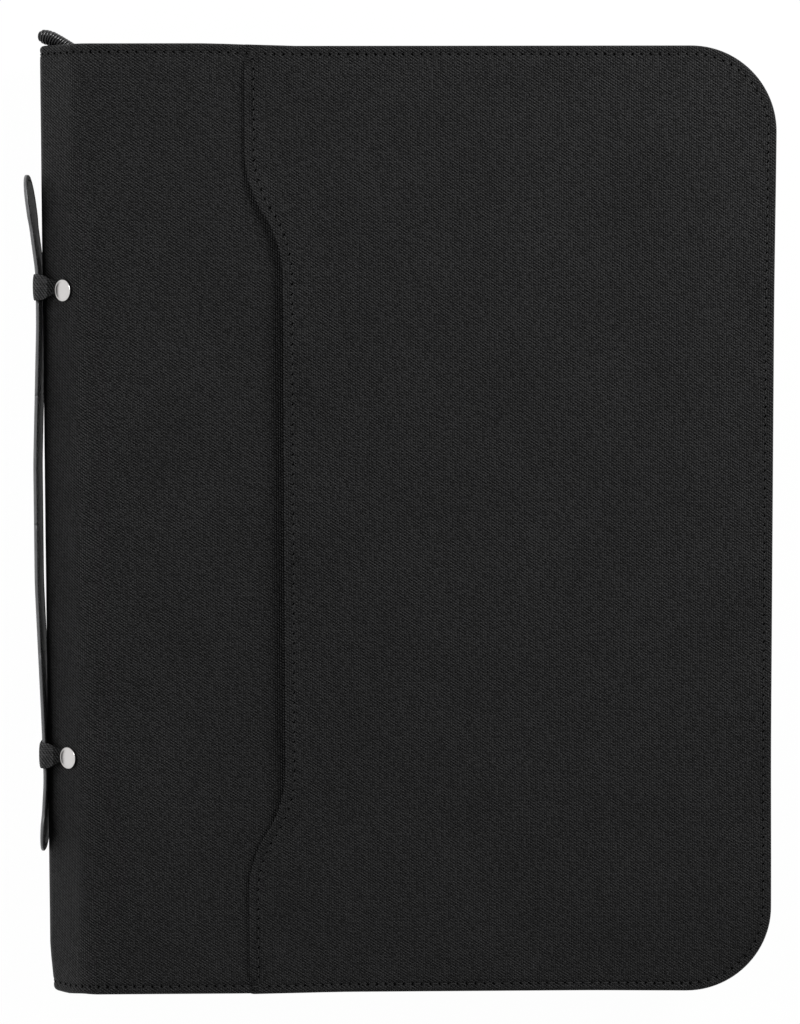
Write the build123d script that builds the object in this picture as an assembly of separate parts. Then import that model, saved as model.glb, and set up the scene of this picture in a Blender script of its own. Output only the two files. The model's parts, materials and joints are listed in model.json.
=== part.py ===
from build123d import *
import math
import os

os.makedirs("parts", exist_ok=True)

# Case, zipped shut and lying on its back cover
overall_width = 265.0  # spine face to fore edge
cover_height = 345.0  # top edge to bottom edge
case_depth = 38.0  # back face to front face
corner_radius = 31.0  # the two fore-edge corners
bevel_run = 14.6  # each spine bevel, measured across the cover
bevel_drop = 13.5  # each spine bevel, measured through the depth
spine_round = 5.0  # rounding between a bevel and the spine face
edge_round = 1.0  # rounding of the cover edges

# Layers
skin = 1.0  # leatherette
padding = 1.0  # foam
board = 2.0  # cover boards
lining = 0.6  # fabric lining
spine_stiffener = 1.5  # formed board in the spine
fold_gap = 0.3  # between a cover and the spine at each fold
fit = 0.2  # clearance round a piece that lies inside another
turn_in = 1.2  # lining edge to cover edge

# Outside pocket panel with the curved open edge
panel = 1.0  # panel thickness
panel_slip = 0.3  # room under the panel
panel_seam = 6.0  # sewn border of the panel
panel_edge_ends = 73.0  # spine face to open edge, near the top and bottom
panel_edge_middle = 88.3  # spine face to open edge, in the middle
panel_end_length = 50.0  # straight part of the open edge at each end
panel_round = 16.0  # rounding of the open edge

# Zip
wall_inset = 6.5  # cover edge to the middle of the zip tape
tape = 0.6  # tape thickness
tape_lip = 1.5  # cover edge to the sewn edge of the tape
tape_start = 3.0  # fold to the end of the tape
coil_width = 2.5  # one coil row, along the depth
coil_thick = 2.5  # one coil row, across the tape
coil_gap = 1.0  # between the two rows
stop_length = 2.4  # end stop, along the chain
stop_wall = 0.4  # end stop, round the coil
tail_reach = 6.0  # middle of the zip end above the cover edge
tail_out = 0.6  # end of the zip outside the spine face
tail_width = 6.0
tail_thick = 4.6
tail_room = 0.4  # between the zip end and the spine

# Slider and pull
slider_length = 12.0
slider_width = 8.4
slider_plate = 0.9
slider_room = 0.3  # between a plate and the coil
slider_post = 2.5  # wedge between the plates, along the chain
post_room = 0.2  # between the wedge and a coil row
slider_park = 20.4  # fold to the middle of the parked slider
bridge_half = 3.6  # half length of the bridge that holds the pull
bridge_bar = 0.9
bridge_width = 2.4
pull_pin = 0.6  # radius of the pull's hinge bar
pull_room = 0.4
pull_length = 24.0
pull_rail = 1.4
pull_window = 4.6  # hinge axis to the end of the window

# Carrying strap, its two keepers and their rivets
loop_spacing = 170.0  # between the two keepers
loop_width = 9.5
loop_thick = 0.6
loop_room = 0.5  # between keeper and strap
strap_width = 20.0
strap_thick = 1.6
strap_off = 0.2  # between strap and spine face
head_width = 24.0  # wide ends of the strap
head_round = 8.0
head_start = 23.0  # keeper to the wide end
strap_above = 41.6  # upper keeper to the upper end of the strap
strap_below = 33.6  # lower keeper to the lower end of the strap
tip_hinge = 6.0  # upper keeper to the bend above it
tip_flare = 7.0  # degrees, upper end of the strap standing off
web_hinge = 13.0  # keeper to the bend on its inner side
web_length = 50.0  # bend to bend
strap_bow = 1.6  # the middle standing off
link_gap = 0.25  # between two lengths of the strap
rivet_set = 8.7  # spine face to the middle of a rivet, across the cover
rivet_radius = 4.0
rivet_dome = 1.4
shank_radius = 1.4
back_radius = 2.7
back_thick = 0.8
shank_room = 0.1

# Writing pad in its sleeve, pen loop and inside pockets
pad_side = 9.0  # pad to the zip tape at the fore edge
pad_gutter = 24.9  # pad to the fold, which leaves an A4 pad
pad_end = 17.5  # pad to the zip tape at its head and foot
backer = 0.8
paper = 6.0
binding = 0.3
binding_lap = 22.0  # binding over the head of the pad
sleeve = 0.6
sleeve_seam = 5.0
sleeve_head = 46.0  # head of the pad that stays clear of the sleeve
pen_radius = 5.5
pen_band = 0.9
pen_length = 36.0
pen_tab = 15.0
pocket_sheet = 0.8
pocket_margin = 16.0  # inside pocket to the cover edge
pocket_height = 190.0
card_width = 98.0
card_height = 58.0
card_step = 15.0
card_sheet = 0.6

# Places that follow from the sizes
spine_x = -overall_width / 2
fore_x = overall_width / 2
fold_x = spine_x + bevel_run
top_y = cover_height / 2
mid_z = case_depth / 2
cavity = padding + board
back_inner = skin + cavity + lining
front_inner = case_depth - back_inner
bevel_length = math.hypot(bevel_run, bevel_drop)
bevel_angle = math.degrees(math.atan2(bevel_drop, bevel_run))
wall_y = top_y - wall_inset
row_low = mid_z - coil_gap / 2 - coil_width
row_high = mid_z + coil_gap / 2
strap_in = spine_x - strap_off
strap_mid = strap_in - strap_thick / 2
loop_y = loop_spacing / 2
loop_x = strap_in - strap_thick - loop_room - loop_thick / 2
loop_z = strap_width / 2 + loop_room + loop_thick / 2
slider_x = fold_x + slider_park
plate_in = coil_thick / 2 + slider_room
plate_out = plate_in + slider_plate
pin_y = -wall_y - plate_out - pull_room - pull_pin
pad_left = fold_x + pad_gutter
pad_right = fore_x - wall_inset - pad_side
pad_top = wall_y - pad_end
sleeve_z = back_inner + backer + fit
paper_z = sleeve_z + sleeve


def cover_face(inset, left=None):
    """Cover outline, drawn in by inset; left is the distance from the fold."""
    x0 = fold_x + fold_gap / 2 + (inset if left is None else left)
    x1 = fore_x - inset
    y1 = top_y - inset
    face = make_face(Polyline((x0, -y1), (x1, -y1), (x1, y1), (x0, y1), close=True))
    return fillet(face.vertices().sort_by(Axis.X)[-2:], corner_radius - inset)


def slab(face, z, height):
    return Pos(0, 0, z) * extrude(face, height)


def band(outer, inner, left):
    """Strip of even width that follows three sides of a cover."""
    return cover_face(outer, left) - cover_face(inner, left)


def block(x0, x1, y0, y1, z0, z1):
    size = Box(x1 - x0, y1 - y0, z1 - z0)
    return Pos((x0 + x1) / 2, (y0 + y1) / 2, (z0 + z1) / 2) * size


def cover_skin():
    """Skin of one cover, outer face down, turned up round the boards."""
    tray = slab(cover_face(0, 0), 0, skin + cavity)
    rim = [e for e in tray.edges().group_by(Axis.Z)[0] if e.center().X > fold_x + 1]
    tray = fillet(rim, edge_round)
    return tray - slab(cover_face(skin), skin, cavity)


def to_front(shape):
    """Turns a piece of the back cover over to the front cover."""
    return Pos(0, 0, case_depth) * mirror(shape, about=Plane.XY)


def cover_padding():
    return slab(cover_face(skin + fit), skin, padding)


def cover_board():
    return slab(cover_face(skin + fit), skin + padding, board)


def cover_lining():
    return slab(cover_face(turn_in), skin + cavity, lining)


def front_pocket_panel():
    x_end = spine_x + panel_edge_ends
    x_mid = spine_x + panel_edge_middle
    y_end = top_y - panel_end_length
    y_mid = y_end - (x_mid - x_end) / math.tan(math.radians(33))
    far = fore_x + 1
    high = top_y + 1
    shape = make_face(Polyline(
        (x_end, -high), (far, -high), (far, high), (x_end, high),
        (x_end, y_end), (x_mid, y_mid), (x_mid, -y_mid), (x_end, -y_end), close=True))
    bends = [v for v in shape.vertices() if v.X < far - 1 and abs(v.Y) < high - 1]
    shape = fillet(bends, panel_round)
    sheet = slab(cover_face(edge_round, 0) & shape, case_depth, panel)
    room = slab(cover_face(panel_seam, 0), case_depth, panel_slip)
    return sheet - room


def zip_tape():
    left = tape_start
    wall = slab(band(wall_inset - tape / 2, wall_inset + tape / 2, left), back_inner, row_low - back_inner)
    return wall + slab(band(tape_lip, wall_inset + tape / 2, left), back_inner, tape)


def zip_coil():
    left = tape_start + stop_length
    return slab(band(wall_inset - coil_thick / 2, wall_inset + coil_thick / 2, left), row_low, coil_width)


def zip_stops():
    x0 = fold_x + fold_gap / 2 + tape_start
    half = coil_thick / 2 + stop_wall
    stop = block(x0, x0 + stop_length, wall_y - half, wall_y + half, row_low, row_low + coil_width)
    return [stop, mirror(stop, about=Plane.XZ)]


def spine_face(inset, gap):
    """Region inside the spine section, drawn in by inset and kept gap off both folds."""
    rise = inset * bevel_length / bevel_run
    slope = bevel_drop / bevel_run
    x0 = spine_x + inset
    x1 = fold_x - gap
    z0 = rise + (fold_x - x0) * slope
    z1 = rise + gap * slope
    face = make_face(Polyline((x1, z1), (x0, z0), (x0, case_depth - z0), (x1, case_depth - z1), close=True))
    return fillet(face.vertices().sort_by(Axis.X)[:2], max(spine_round - inset, 0.6))


def spine_run(face, length):
    return extrude(Plane.XZ * face, length / 2, both=True)


def bevel_place(y, front):
    """Frame on a bevel at a rivet: Z points out of the case."""
    z = (spine_x + rivet_set - fold_x) * -bevel_drop / bevel_run
    turn = 180 + bevel_angle
    place = Pos(spine_x + rivet_set, y, z) * Rot(0, turn, 0)
    if front:
        place = Pos(spine_x + rivet_set, y, case_depth - z) * Rot(0, -bevel_angle, 0)
    return place


def rivet_places():
    return [bevel_place(y, front) for y in (loop_y, -loop_y) for front in (True, False)]


def shank_holes():
    hole = Cylinder(shank_radius + shank_room, 4 * (skin + spine_stiffener))
    return [place * hole for place in rivet_places()]


def spine_skin():
    shell = spine_run(spine_face(0, fold_gap / 2) - spine_face(skin, fold_gap / 2), cover_height)
    return shell - shank_holes()


def spine_board():
    off = 3 * fold_gap + skin
    shell = spine_face(skin, off) - spine_face(skin + spine_stiffener, off)
    return spine_run(shell, cover_height - 4 * edge_round) - shank_holes()


def spine_lining_x():
    return fold_x - 2 * fold_gap - lining


def spine_lining():
    x0 = spine_lining_x()
    low = skin * bevel_length / bevel_run + (fold_x - x0) * bevel_drop / bevel_run + fit
    return block(x0, x0 + lining, turn_in - top_y, top_y - turn_in, low, case_depth - low)


def loop_path():
    """Middle line of a keeper across the strap, from one rivet to the other."""
    slope = bevel_drop / bevel_run
    rise = loop_thick / 2 * bevel_length / bevel_run
    z_nose = bevel_drop - rise
    x_turn = spine_x + (z_nose - mid_z + loop_z) / slope
    x_end = spine_x + rivet_set - loop_thick / 2 * bevel_drop / bevel_length
    z_end = z_nose - (x_end - spine_x) * slope
    half = [(x_end, z_end), (x_turn, mid_z - loop_z), (loop_x, mid_z - loop_z)]
    return half + [(x, case_depth - z) for x, z in reversed(half)]


def thick_line(points, thick):
    """Outline at half a thickness on both sides of a chain of points."""
    left = []
    right = []
    last = len(points) - 1
    for i, (x, z) in enumerate(points):
        before = points[max(i - 1, 0)]
        after = points[min(i + 1, last)]
        first = Vector(x - before[0], z - before[1]) if i else Vector(after[0] - x, after[1] - z)
        second = Vector(after[0] - x, after[1] - z) if i < last else first
        first = first.normalized()
        second = second.normalized()
        normal = Vector(-first.Y - second.Y, first.X + second.X).normalized()
        reach = thick / 2 / normal.dot(Vector(-first.Y, first.X))
        left.append((x + normal.X * reach, z + normal.Y * reach))
        right.append((x - normal.X * reach, z - normal.Y * reach))
    return make_face(Polyline(*left, *reversed(right), close=True))


def handle_loop(y):
    strip = thick_line(loop_path(), loop_thick)
    loop = Pos(0, y, 0) * spine_run(strip, loop_width)
    for front in (True, False):
        place = bevel_place(y, front)
        loop += place * Pos(0, 0, loop_thick / 2) * Cylinder(loop_width / 2, loop_thick)
        loop -= place * Cylinder(shank_radius + shank_room, 4 * loop_thick)
    return loop


def rivet_cap():
    """Cap and shank; Z points out of the case and the bevel is at zero."""
    ball = (rivet_radius ** 2 + rivet_dome ** 2) / (2 * rivet_dome)
    cap = Pos(0, 0, loop_thick + rivet_dome - ball) * Sphere(ball)
    cap &= Pos(0, 0, loop_thick + rivet_dome / 2) * Cylinder(rivet_radius, rivet_dome)
    deep = skin + spine_stiffener + back_thick
    shank = Pos(0, 0, (loop_thick + 0.1 - deep) / 2) * Cylinder(shank_radius, deep + loop_thick + 0.1)
    return cap + shank


def rivet_back():
    disc = Cylinder(back_radius, back_thick) - Cylinder(shank_radius + shank_room / 2, 2 * back_thick)
    return Pos(0, 0, -skin - spine_stiffener - back_thick / 2) * disc


def zip_tail_top():
    """End of the closed chain, rising out of the spine and curling over its top end."""
    x0 = spine_lining_x() - fit - tail_thick / 2
    y0 = top_y - wall_inset + tail_thick
    peak = top_y + tail_reach - tail_thick / 2
    x1 = spine_x - tail_out + tail_thick / 2
    low = top_y + tail_room + tail_thick / 2
    points = [(x0, y0), ((x0 + x1) / 2, y0 + 0.5 * (peak - y0)), (x1 + tail_thick / 2, peak), (x1, (peak + low) / 2)]
    tail = Pos(x0, y0, mid_z) * Cylinder(tail_thick / 2, tail_width)
    for start, end in zip(points, points[1:]):
        tail += slab(thick_line([start, end], tail_thick), mid_z - tail_width / 2, tail_width)
        tail += Pos(end[0], end[1], mid_z) * Cylinder(tail_thick / 2, tail_width)
    return tail


def zip_tail_bottom():
    """Other end of the chain, tucked into the lower end of the spine."""
    x0 = spine_x + skin + spine_stiffener + 2 * tail_room
    x1 = spine_lining_x() - fit
    y0 = -wall_y - tail_thick / 2
    return block(x0, x1, y0, y0 + tail_thick, mid_z - tail_width / 2, mid_z + tail_width / 2)


def pen_loop():
    x0 = spine_lining_x() + lining
    ring = Cylinder(pen_radius + pen_band, pen_length) - Cylinder(pen_radius, 2 * pen_length)
    ring = Pos(x0 + pen_band + pen_radius, 0, mid_z) * Rot(90, 0, 0) * ring
    tab = block(x0, x0 + pen_band, -pen_length / 2, pen_length / 2, mid_z - pen_tab / 2, mid_z + pen_tab / 2)
    bore = Pos(x0 + pen_band + pen_radius, 0, mid_z) * Rot(90, 0, 0) * Cylinder(pen_radius, 2 * pen_length)
    return ring + tab - bore


def pad_sleeve():
    y1 = pad_top - sleeve_head
    foot = -pad_top - sleeve_seam
    cover = block(pad_left - sleeve_seam, pad_right + sleeve_seam, foot, y1, back_inner, paper_z)
    room = block(pad_left - fit, pad_right + fit, -pad_top - fit, y1 + 1, back_inner, sleeve_z)
    return cover - room


def pad_sheet(z, thick):
    return block(pad_left, pad_right, -pad_top, pad_top, z, z + thick)


def pad_binding():
    """Tape over the head of the paper and down to the backing card."""
    top = paper_z + paper
    over = block(pad_left, pad_right, pad_top - binding_lap, pad_top + binding, top, top + binding)
    return over + block(pad_left, pad_right, pad_top, pad_top + binding, back_inner, top + binding)


def document_pocket():
    x0 = fold_x + pocket_margin
    x1 = fore_x - pocket_margin - wall_inset / 2
    y0 = pocket_margin - top_y
    sheet = block(x0, x1, y0, y0 + pocket_height, front_inner - pocket_sheet, front_inner)
    room = block(x0 + sleeve_seam, x1 - sleeve_seam, y0 + sleeve_seam, y0 + pocket_height + 1,
                 front_inner - panel_slip, front_inner)
    return sheet - room


def card_pockets():
    """Three card pockets, each a step lower and a sheet nearer to the reader."""
    x0 = fold_x + pocket_margin
    y0 = pocket_margin - top_y + pocket_height + card_sheet
    pockets = []
    for i in range(3):
        z1 = front_inner - i * card_sheet
        y1 = y0 + card_height + (2 - i) * card_step
        pockets.append(block(x0, x0 + card_width, y0, y1, z1 - card_sheet, z1))
    return pockets


def zip_slider():
    """Two plates on either side of the chain, a wedge between them and a bridge for the pull."""
    half = slider_length / 2
    wide = slider_width / 2
    outer = block(-half, half, -plate_out, -plate_in, -wide, wide)
    outer = fillet(outer.edges().filter_by(Axis.Y), 2.0)
    inner = mirror(outer, about=Plane.XZ)
    thin = coil_gap / 2 - post_room
    post = block(-half + 0.6, -half + 0.6 + slider_post, -plate_in - 0.2, plate_in + 0.2, -thin, thin)
    foot = -plate_out - 2 * (pull_pin + pull_room)
    arch = block(-bridge_half, bridge_half, foot - bridge_bar, -plate_in - 0.3, -bridge_width / 2, bridge_width / 2)
    clear = bridge_half - bridge_bar
    arch -= block(-clear, clear, foot, -plate_out, -bridge_width, bridge_width)
    return Pos(slider_x, -wall_y, mid_z) * (outer + inner + post + arch)


def zip_pull():
    """Flat pull with a window, hung by a bar under the bridge."""
    half = bridge_width / 2 + pull_room + pull_rail
    bar = Cylinder(pull_pin, 2 * half)
    tab = block(0, pull_length, -pull_pin, pull_pin, -half, half)
    tab = fillet(tab.edges().filter_by(Axis.Y).group_by(Axis.X)[-1], half - 0.4)
    window = half - pull_rail
    tab -= block(-1, pull_window, -2, 2, -window, window)
    hole = Pos(pull_length - half, 0, 0) * Rot(90, 0, 0) * Cylinder(half / 3, 4 * pull_pin)
    return Pos(slider_x, pin_y, mid_z) * (bar + tab - hole)


def strap_link(start, end, round_end, head=0.0, head_from=0.0):
    """One length of the strap from bend to bend.

    The end at start is flat and stands off its bend, the end at end is round about its bend.
    """
    turn = math.degrees(math.atan2(end[0] - start[0], start[1] - end[1]))
    length = math.hypot(end[0] - start[0], end[1] - start[1])
    half = strap_thick / 2
    far = length if round_end else length + half
    near = 0.0 if round_end is None else half + link_gap
    body = block(-half, half, -far, -near, -strap_width / 2, strap_width / 2)
    if round_end:
        body += Pos(0, -length, 0) * Cylinder(half, strap_width)
    if head:
        body = block(-half, half, -far, -near, -head / 2, head / 2)
        cut = block(-2 * half, 2 * half, -head_from, 0, -head, head)
        body = (body - cut) + block(-half, half, -head_from, -near, -strap_width / 2, strap_width / 2)
        ends = body.edges().filter_by(Axis.X).group_by(Axis.Y)[0]
        body = fillet(ends, head_round)
    return Pos(start[0], start[1], mid_z) * Rot(0, 0, turn) * body


def strap_points():
    a = (strap_mid, loop_y - web_hinge)
    b = (strap_mid - strap_bow, loop_y - web_hinge - web_length)
    return a, b, (b[0], -b[1]), (a[0], -a[1])


def strap_tip():
    """Upper end, round about the bend above the keeper and standing off the spine."""
    half = strap_thick / 2
    long = strap_above - tip_hinge
    step = head_start - tip_hinge
    stem = block(-half, half, 0, step, -strap_width / 2, strap_width / 2)
    stem += Cylinder(half, strap_width)
    head = block(-half, half, step, long, -head_width / 2, head_width / 2)
    head = fillet(head.edges().filter_by(Axis.X).group_by(Axis.Y)[-1], head_round)
    return Pos(strap_mid, loop_y + tip_hinge, mid_z) * Rot(0, 0, tip_flare) * (stem + head)


def strap_upper():
    return strap_link((strap_mid, loop_y + tip_hinge), strap_points()[0], True)


def web_upper():
    a, b, c, d = strap_points()
    return strap_link(a, b, True)


def grip():
    a, b, c, d = strap_points()
    return strap_link(b, c, True)


def web_lower():
    a, b, c, d = strap_points()
    return strap_link(c, d, True)


def strap_lower():
    d = strap_points()[3]
    end = (strap_mid, -loop_y - strap_below + strap_thick / 2)
    return strap_link(d, end, False, head_width, head_start - web_hinge + 2 * web_hinge)


def save(name, shape):
    solids = []
    for piece in shape if isinstance(shape, list) else [shape]:
        solids += piece.solids()
    node = solids[0] if len(solids) == 1 else Compound(children=solids)
    node.label = name
    export_step(node, f"parts/{name}.step")


save("back_skin", cover_skin())
save("back_padding", cover_padding())
save("back_board", cover_board())
save("back_lining", cover_lining())
save("pad_sleeve", pad_sleeve())
save("pad_backer", pad_sheet(back_inner, backer))
save("pad_paper", pad_sheet(paper_z, paper))
save("pad_binding", pad_binding())
save("zip_tape_back", zip_tape())
save("zip_coil_back", zip_coil())
save("zip_stops_back", zip_stops())
save("spine_skin", spine_skin())
save("spine_board", spine_board())
save("spine_lining", spine_lining())
save("pen_loop", pen_loop())
save("handle_loop_upper", handle_loop(loop_y))
save("handle_loop_lower", handle_loop(-loop_y))
save("rivet_caps", [place * rivet_cap() for place in rivet_places()])
save("rivet_backs", [place * rivet_back() for place in rivet_places()])
save("zip_tail_top", zip_tail_top())
save("zip_tail_bottom", zip_tail_bottom())
save("front_skin", to_front(cover_skin()))
save("front_padding", to_front(cover_padding()))
save("front_board", to_front(cover_board()))
save("front_lining", to_front(cover_lining()))
save("front_pocket_panel", front_pocket_panel())
save("document_pocket", document_pocket())
save("card_pockets", card_pockets())
save("zip_tape_front", to_front(zip_tape()))
save("zip_coil_front", to_front(zip_coil()))
save("zip_stops_front", [to_front(stop) for stop in zip_stops()])
save("zip_slider", zip_slider())
save("zip_pull", zip_pull())
save("strap_tip", strap_tip())
save("strap_upper", strap_upper())
save("web_upper", web_upper())
save("grip", grip())
save("web_lower", web_lower())
save("strap_lower", strap_lower())
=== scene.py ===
# %% [markdown]
# A zippered padfolio, closed and lying on its back cover. The packed CAD model gives the frame: every piece
# below is made in that same place, in metres, and many of them ride on one of its bodies.

# %% Load the packed model
import json
import math
import random
import bpy
import bmesh
from mathutils import Matrix, Vector, geometry, noise

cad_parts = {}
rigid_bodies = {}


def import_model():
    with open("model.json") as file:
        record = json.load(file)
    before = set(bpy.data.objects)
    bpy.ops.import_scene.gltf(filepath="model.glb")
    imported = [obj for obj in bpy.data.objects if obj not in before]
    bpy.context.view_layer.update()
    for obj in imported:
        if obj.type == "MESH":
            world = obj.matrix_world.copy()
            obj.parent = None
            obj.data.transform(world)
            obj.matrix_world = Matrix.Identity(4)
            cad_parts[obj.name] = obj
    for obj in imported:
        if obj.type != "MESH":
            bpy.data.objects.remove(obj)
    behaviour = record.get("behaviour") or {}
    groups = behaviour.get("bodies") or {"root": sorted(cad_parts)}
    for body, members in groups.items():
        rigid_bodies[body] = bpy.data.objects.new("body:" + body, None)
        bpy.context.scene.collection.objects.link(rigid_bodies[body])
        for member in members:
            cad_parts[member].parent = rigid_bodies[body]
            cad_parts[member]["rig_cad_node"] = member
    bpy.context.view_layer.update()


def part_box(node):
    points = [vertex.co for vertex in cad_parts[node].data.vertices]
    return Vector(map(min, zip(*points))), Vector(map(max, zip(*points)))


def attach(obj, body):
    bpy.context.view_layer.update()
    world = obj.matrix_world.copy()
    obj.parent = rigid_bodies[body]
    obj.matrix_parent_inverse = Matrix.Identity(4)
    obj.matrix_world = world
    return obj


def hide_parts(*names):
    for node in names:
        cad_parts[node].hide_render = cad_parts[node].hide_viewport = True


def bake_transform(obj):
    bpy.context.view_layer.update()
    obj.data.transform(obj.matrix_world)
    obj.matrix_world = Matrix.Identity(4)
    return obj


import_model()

mm = 0.001
studio = bpy.context.scene
studio.view_settings.view_transform = "Standard"

# %% [markdown]
# The photograph looks almost straight down on the front cover, a little from above its top edge, with a
# long lens. The camera could be placed by eye. Here its place comes from the straight edges of the cover:
# their slant and their length in the picture fix the distance, the tilt and the small turn.

# %% Camera
lens = bpy.data.cameras.new("camera")
lens.sensor_fit = "VERTICAL"
lens.sensor_height = 36.0
lens.lens = 110.0
camera = bpy.data.objects.new("camera", lens)
studio.collection.objects.link(camera)
camera_place = Vector((-24.9, 95.2, 1165.0)) * mm
tilt, yaw, roll = 0.0800, 0.0193, 0.0040
turned = Matrix.Rotation(-tilt, 4, "X") @ Matrix.Rotation(-yaw, 4, "Y") @ Matrix.Rotation(-roll, 4, "Z")
camera.matrix_world = Matrix.Translation(camera_place) @ turned
studio.camera = camera
print("camera stands", round(camera_place.z, 3), "m above the table")

# %% [markdown]
# Materials are small networks of nodes. A few helpers keep them readable: one fills a node's sockets with
# values or links, one makes a node, one does a step of arithmetic, and one starts a node group, which is a
# network that several materials can share.

# %% Node helpers
def feed(tree, node, sockets):
    """Fills inputs of a node: sockets maps a name or number to a value, or to the output to link."""
    for name, value in sockets.items():
        if isinstance(value, bpy.types.NodeSocket):
            tree.links.new(value, node.inputs[name])
        else:
            node.inputs[name].default_value = value


def put(tree, kind, sockets=None, **settings):
    """Adds a node with its settings, then fills its sockets."""
    made = tree.nodes.new(kind)
    for name, value in settings.items():
        setattr(made, name, value)
    feed(tree, made, sockets or {})
    return made


def calc(tree, operation, *terms):
    """One step of arithmetic on numbers or outputs."""
    return put(tree, "ShaderNodeMath", dict(enumerate(terms)), operation=operation).outputs[0]


def new_group(name, inputs, outputs):
    """A node group with its sockets; returns its tree, its inputs and its output node."""
    tree = bpy.data.node_groups.new(name, "ShaderNodeTree")
    for label, kind, value in inputs:
        socket = tree.interface.new_socket(label, in_out="INPUT", socket_type=kind)
        if value is not None:
            socket.default_value = value
    for label in outputs:
        tree.interface.new_socket(label, in_out="OUTPUT", socket_type="NodeSocketFloat")
    return tree, tree.nodes.new("NodeGroupInput").outputs, tree.nodes.new("NodeGroupOutput")


print("node helpers:", [helper.__name__ for helper in (feed, put, calc, new_group)])

# %% [markdown]
# Leatherette, lining, tape and elastic all show a weave, at different sizes, so the weave is a group. A
# plain weave is a chequerboard in which one thread lies on top in every second cell. The product of two
# sine waves has exactly that sign, and the size of each wave gives the round back of a thread. Its Tone
# output is painted light for the colour: painted highlights on the round backs of the threads and painted
# glints on the crossings along one diagonal, as light from one side catches them, no two equally bright.

# %% Weave
weave, given, result = new_group(
    "plain weave",
    [("Vector", "NodeSocketVector", None), ("Threads", "NodeSocketFloat", 1200.0),
     ("Picks", "NodeSocketFloat", 1880.0), ("Waver", "NodeSocketFloat", 0.00006)],
    ["Height", "Tone"])
roundness, changeover = 0.65, 0.18
glint_spread, glint_least, glint_share = 2.6, -0.3, -0.40
lean_share, back_share, base_tone = 0.06, 0.46, 0.22


def work(operation, *terms):
    """Arithmetic inside the weave group."""
    return calc(weave, operation, *terms)


drift = put(weave, "ShaderNodeTexNoise", {"Vector": given["Vector"], "Scale": 420.0, "Detail": 1.0})
wander = put(weave, "ShaderNodeSeparateColor", {"Color": drift.outputs["Color"]})
along = put(weave, "ShaderNodeSeparateXYZ", {"Vector": given["Vector"]})
counted = []
for way, shade, count in (("X", "Red", "Threads"), ("Y", "Green", "Picks")):
    nudge = work("MULTIPLY", work("SUBTRACT", wander.outputs[shade], 0.5), given["Waver"])
    counted.append(work("MULTIPLY", work("ADD", along.outputs[way], nudge), given[count]))
turns = [work("MULTIPLY", number, math.pi) for number in counted]
waves = [work("SINE", turn) for turn in turns]
backs = [work("POWER", work("ABSOLUTE", wave), roundness) for wave in waves]
warp_on_top = put(weave, "ShaderNodeMapRange", {
    "Value": work("MULTIPLY", *waves), "From Min": -changeover, "From Max": changeover})
lie = [work("MULTIPLY", back, work("MULTIPLY_ADD", other, 0.5, 0.5)) for back, other in (backs, backs[::-1])]
height = put(weave, "ShaderNodeMix", {"Factor": warp_on_top.outputs[0], "A": lie[1], "B": lie[0]})
slant = work("COSINE", work("ADD", *turns))
lean = work("COSINE", work("SUBTRACT", *turns))
cell_x, cell_y = [work("FLOOR", number) for number in counted]
crossing = put(weave, "ShaderNodeCombineXYZ", {"X": cell_x, "Y": cell_y})
chance = put(weave, "ShaderNodeTexWhiteNoise", {"Vector": crossing.outputs[0]}, noise_dimensions="2D")
# painted glints: one diagonal of crossings is lightened in the colour, by a random amount per crossing
painted_glint = work("MULTIPLY", slant, work("MULTIPLY_ADD", chance.outputs["Value"], glint_spread, glint_least))
painted_shine = work("MULTIPLY_ADD", painted_glint, glint_share, work("MULTIPLY_ADD", lean, lean_share, base_tone))
# Tone: painted highlight on the thread backs plus the painted glints, standing in for light and shade
feed(weave, result, {"Height": height.outputs[0], "Tone": work("MULTIPLY_ADD", backs[0], back_share, painted_shine)})
print("group:", weave.name)

# %% [markdown]
# Handling and uneven dye leave soft patches on every real surface. A painted picture could hold them, but a
# cloud of noise needs no file. It varies about one half, and a second group lets every finish share it.

# %% Soft patches
soft_patches, given, result = new_group(
    "soft patches",
    [("Vector", "NodeSocketVector", None), ("Size", "NodeSocketFloat", 30.0),
     ("Contrast", "NodeSocketFloat", 1.0)],
    ["Patches"])
cloud = put(soft_patches, "ShaderNodeTexNoise", {
    "Vector": given["Vector"], "Scale": given["Size"], "Detail": 4.0})
uneven = calc(soft_patches, "SUBTRACT", cloud.outputs["Fac"], 0.5)
feed(soft_patches, result, {"Patches": calc(soft_patches, "MULTIPLY_ADD", uneven, given["Contrast"], 0.5)})


def vary(tree, patches, middle, swing):
    """A value that the patches move up and down about its middle."""
    return calc(tree, "MULTIPLY_ADD", patches, swing, middle - swing / 2)


print("groups:", [g.name for g in bpy.data.node_groups])

# %% [markdown]
# The leatherette is a black coated cloth embossed with a canvas weave. Its pattern has to follow the sheet
# over the edges and round the spine, so it reads the sheet's own flat pattern, kept in a UV map named
# "weave". The same builder serves the other woven finishes with other numbers.

# %% Builder for woven finishes
def new_finish(name):
    """A new material, with its node tree and its shader."""
    made = bpy.data.materials.new(name)
    made.use_nodes = True
    return made, made.node_tree, made.node_tree.nodes["Principled BSDF"]


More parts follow.
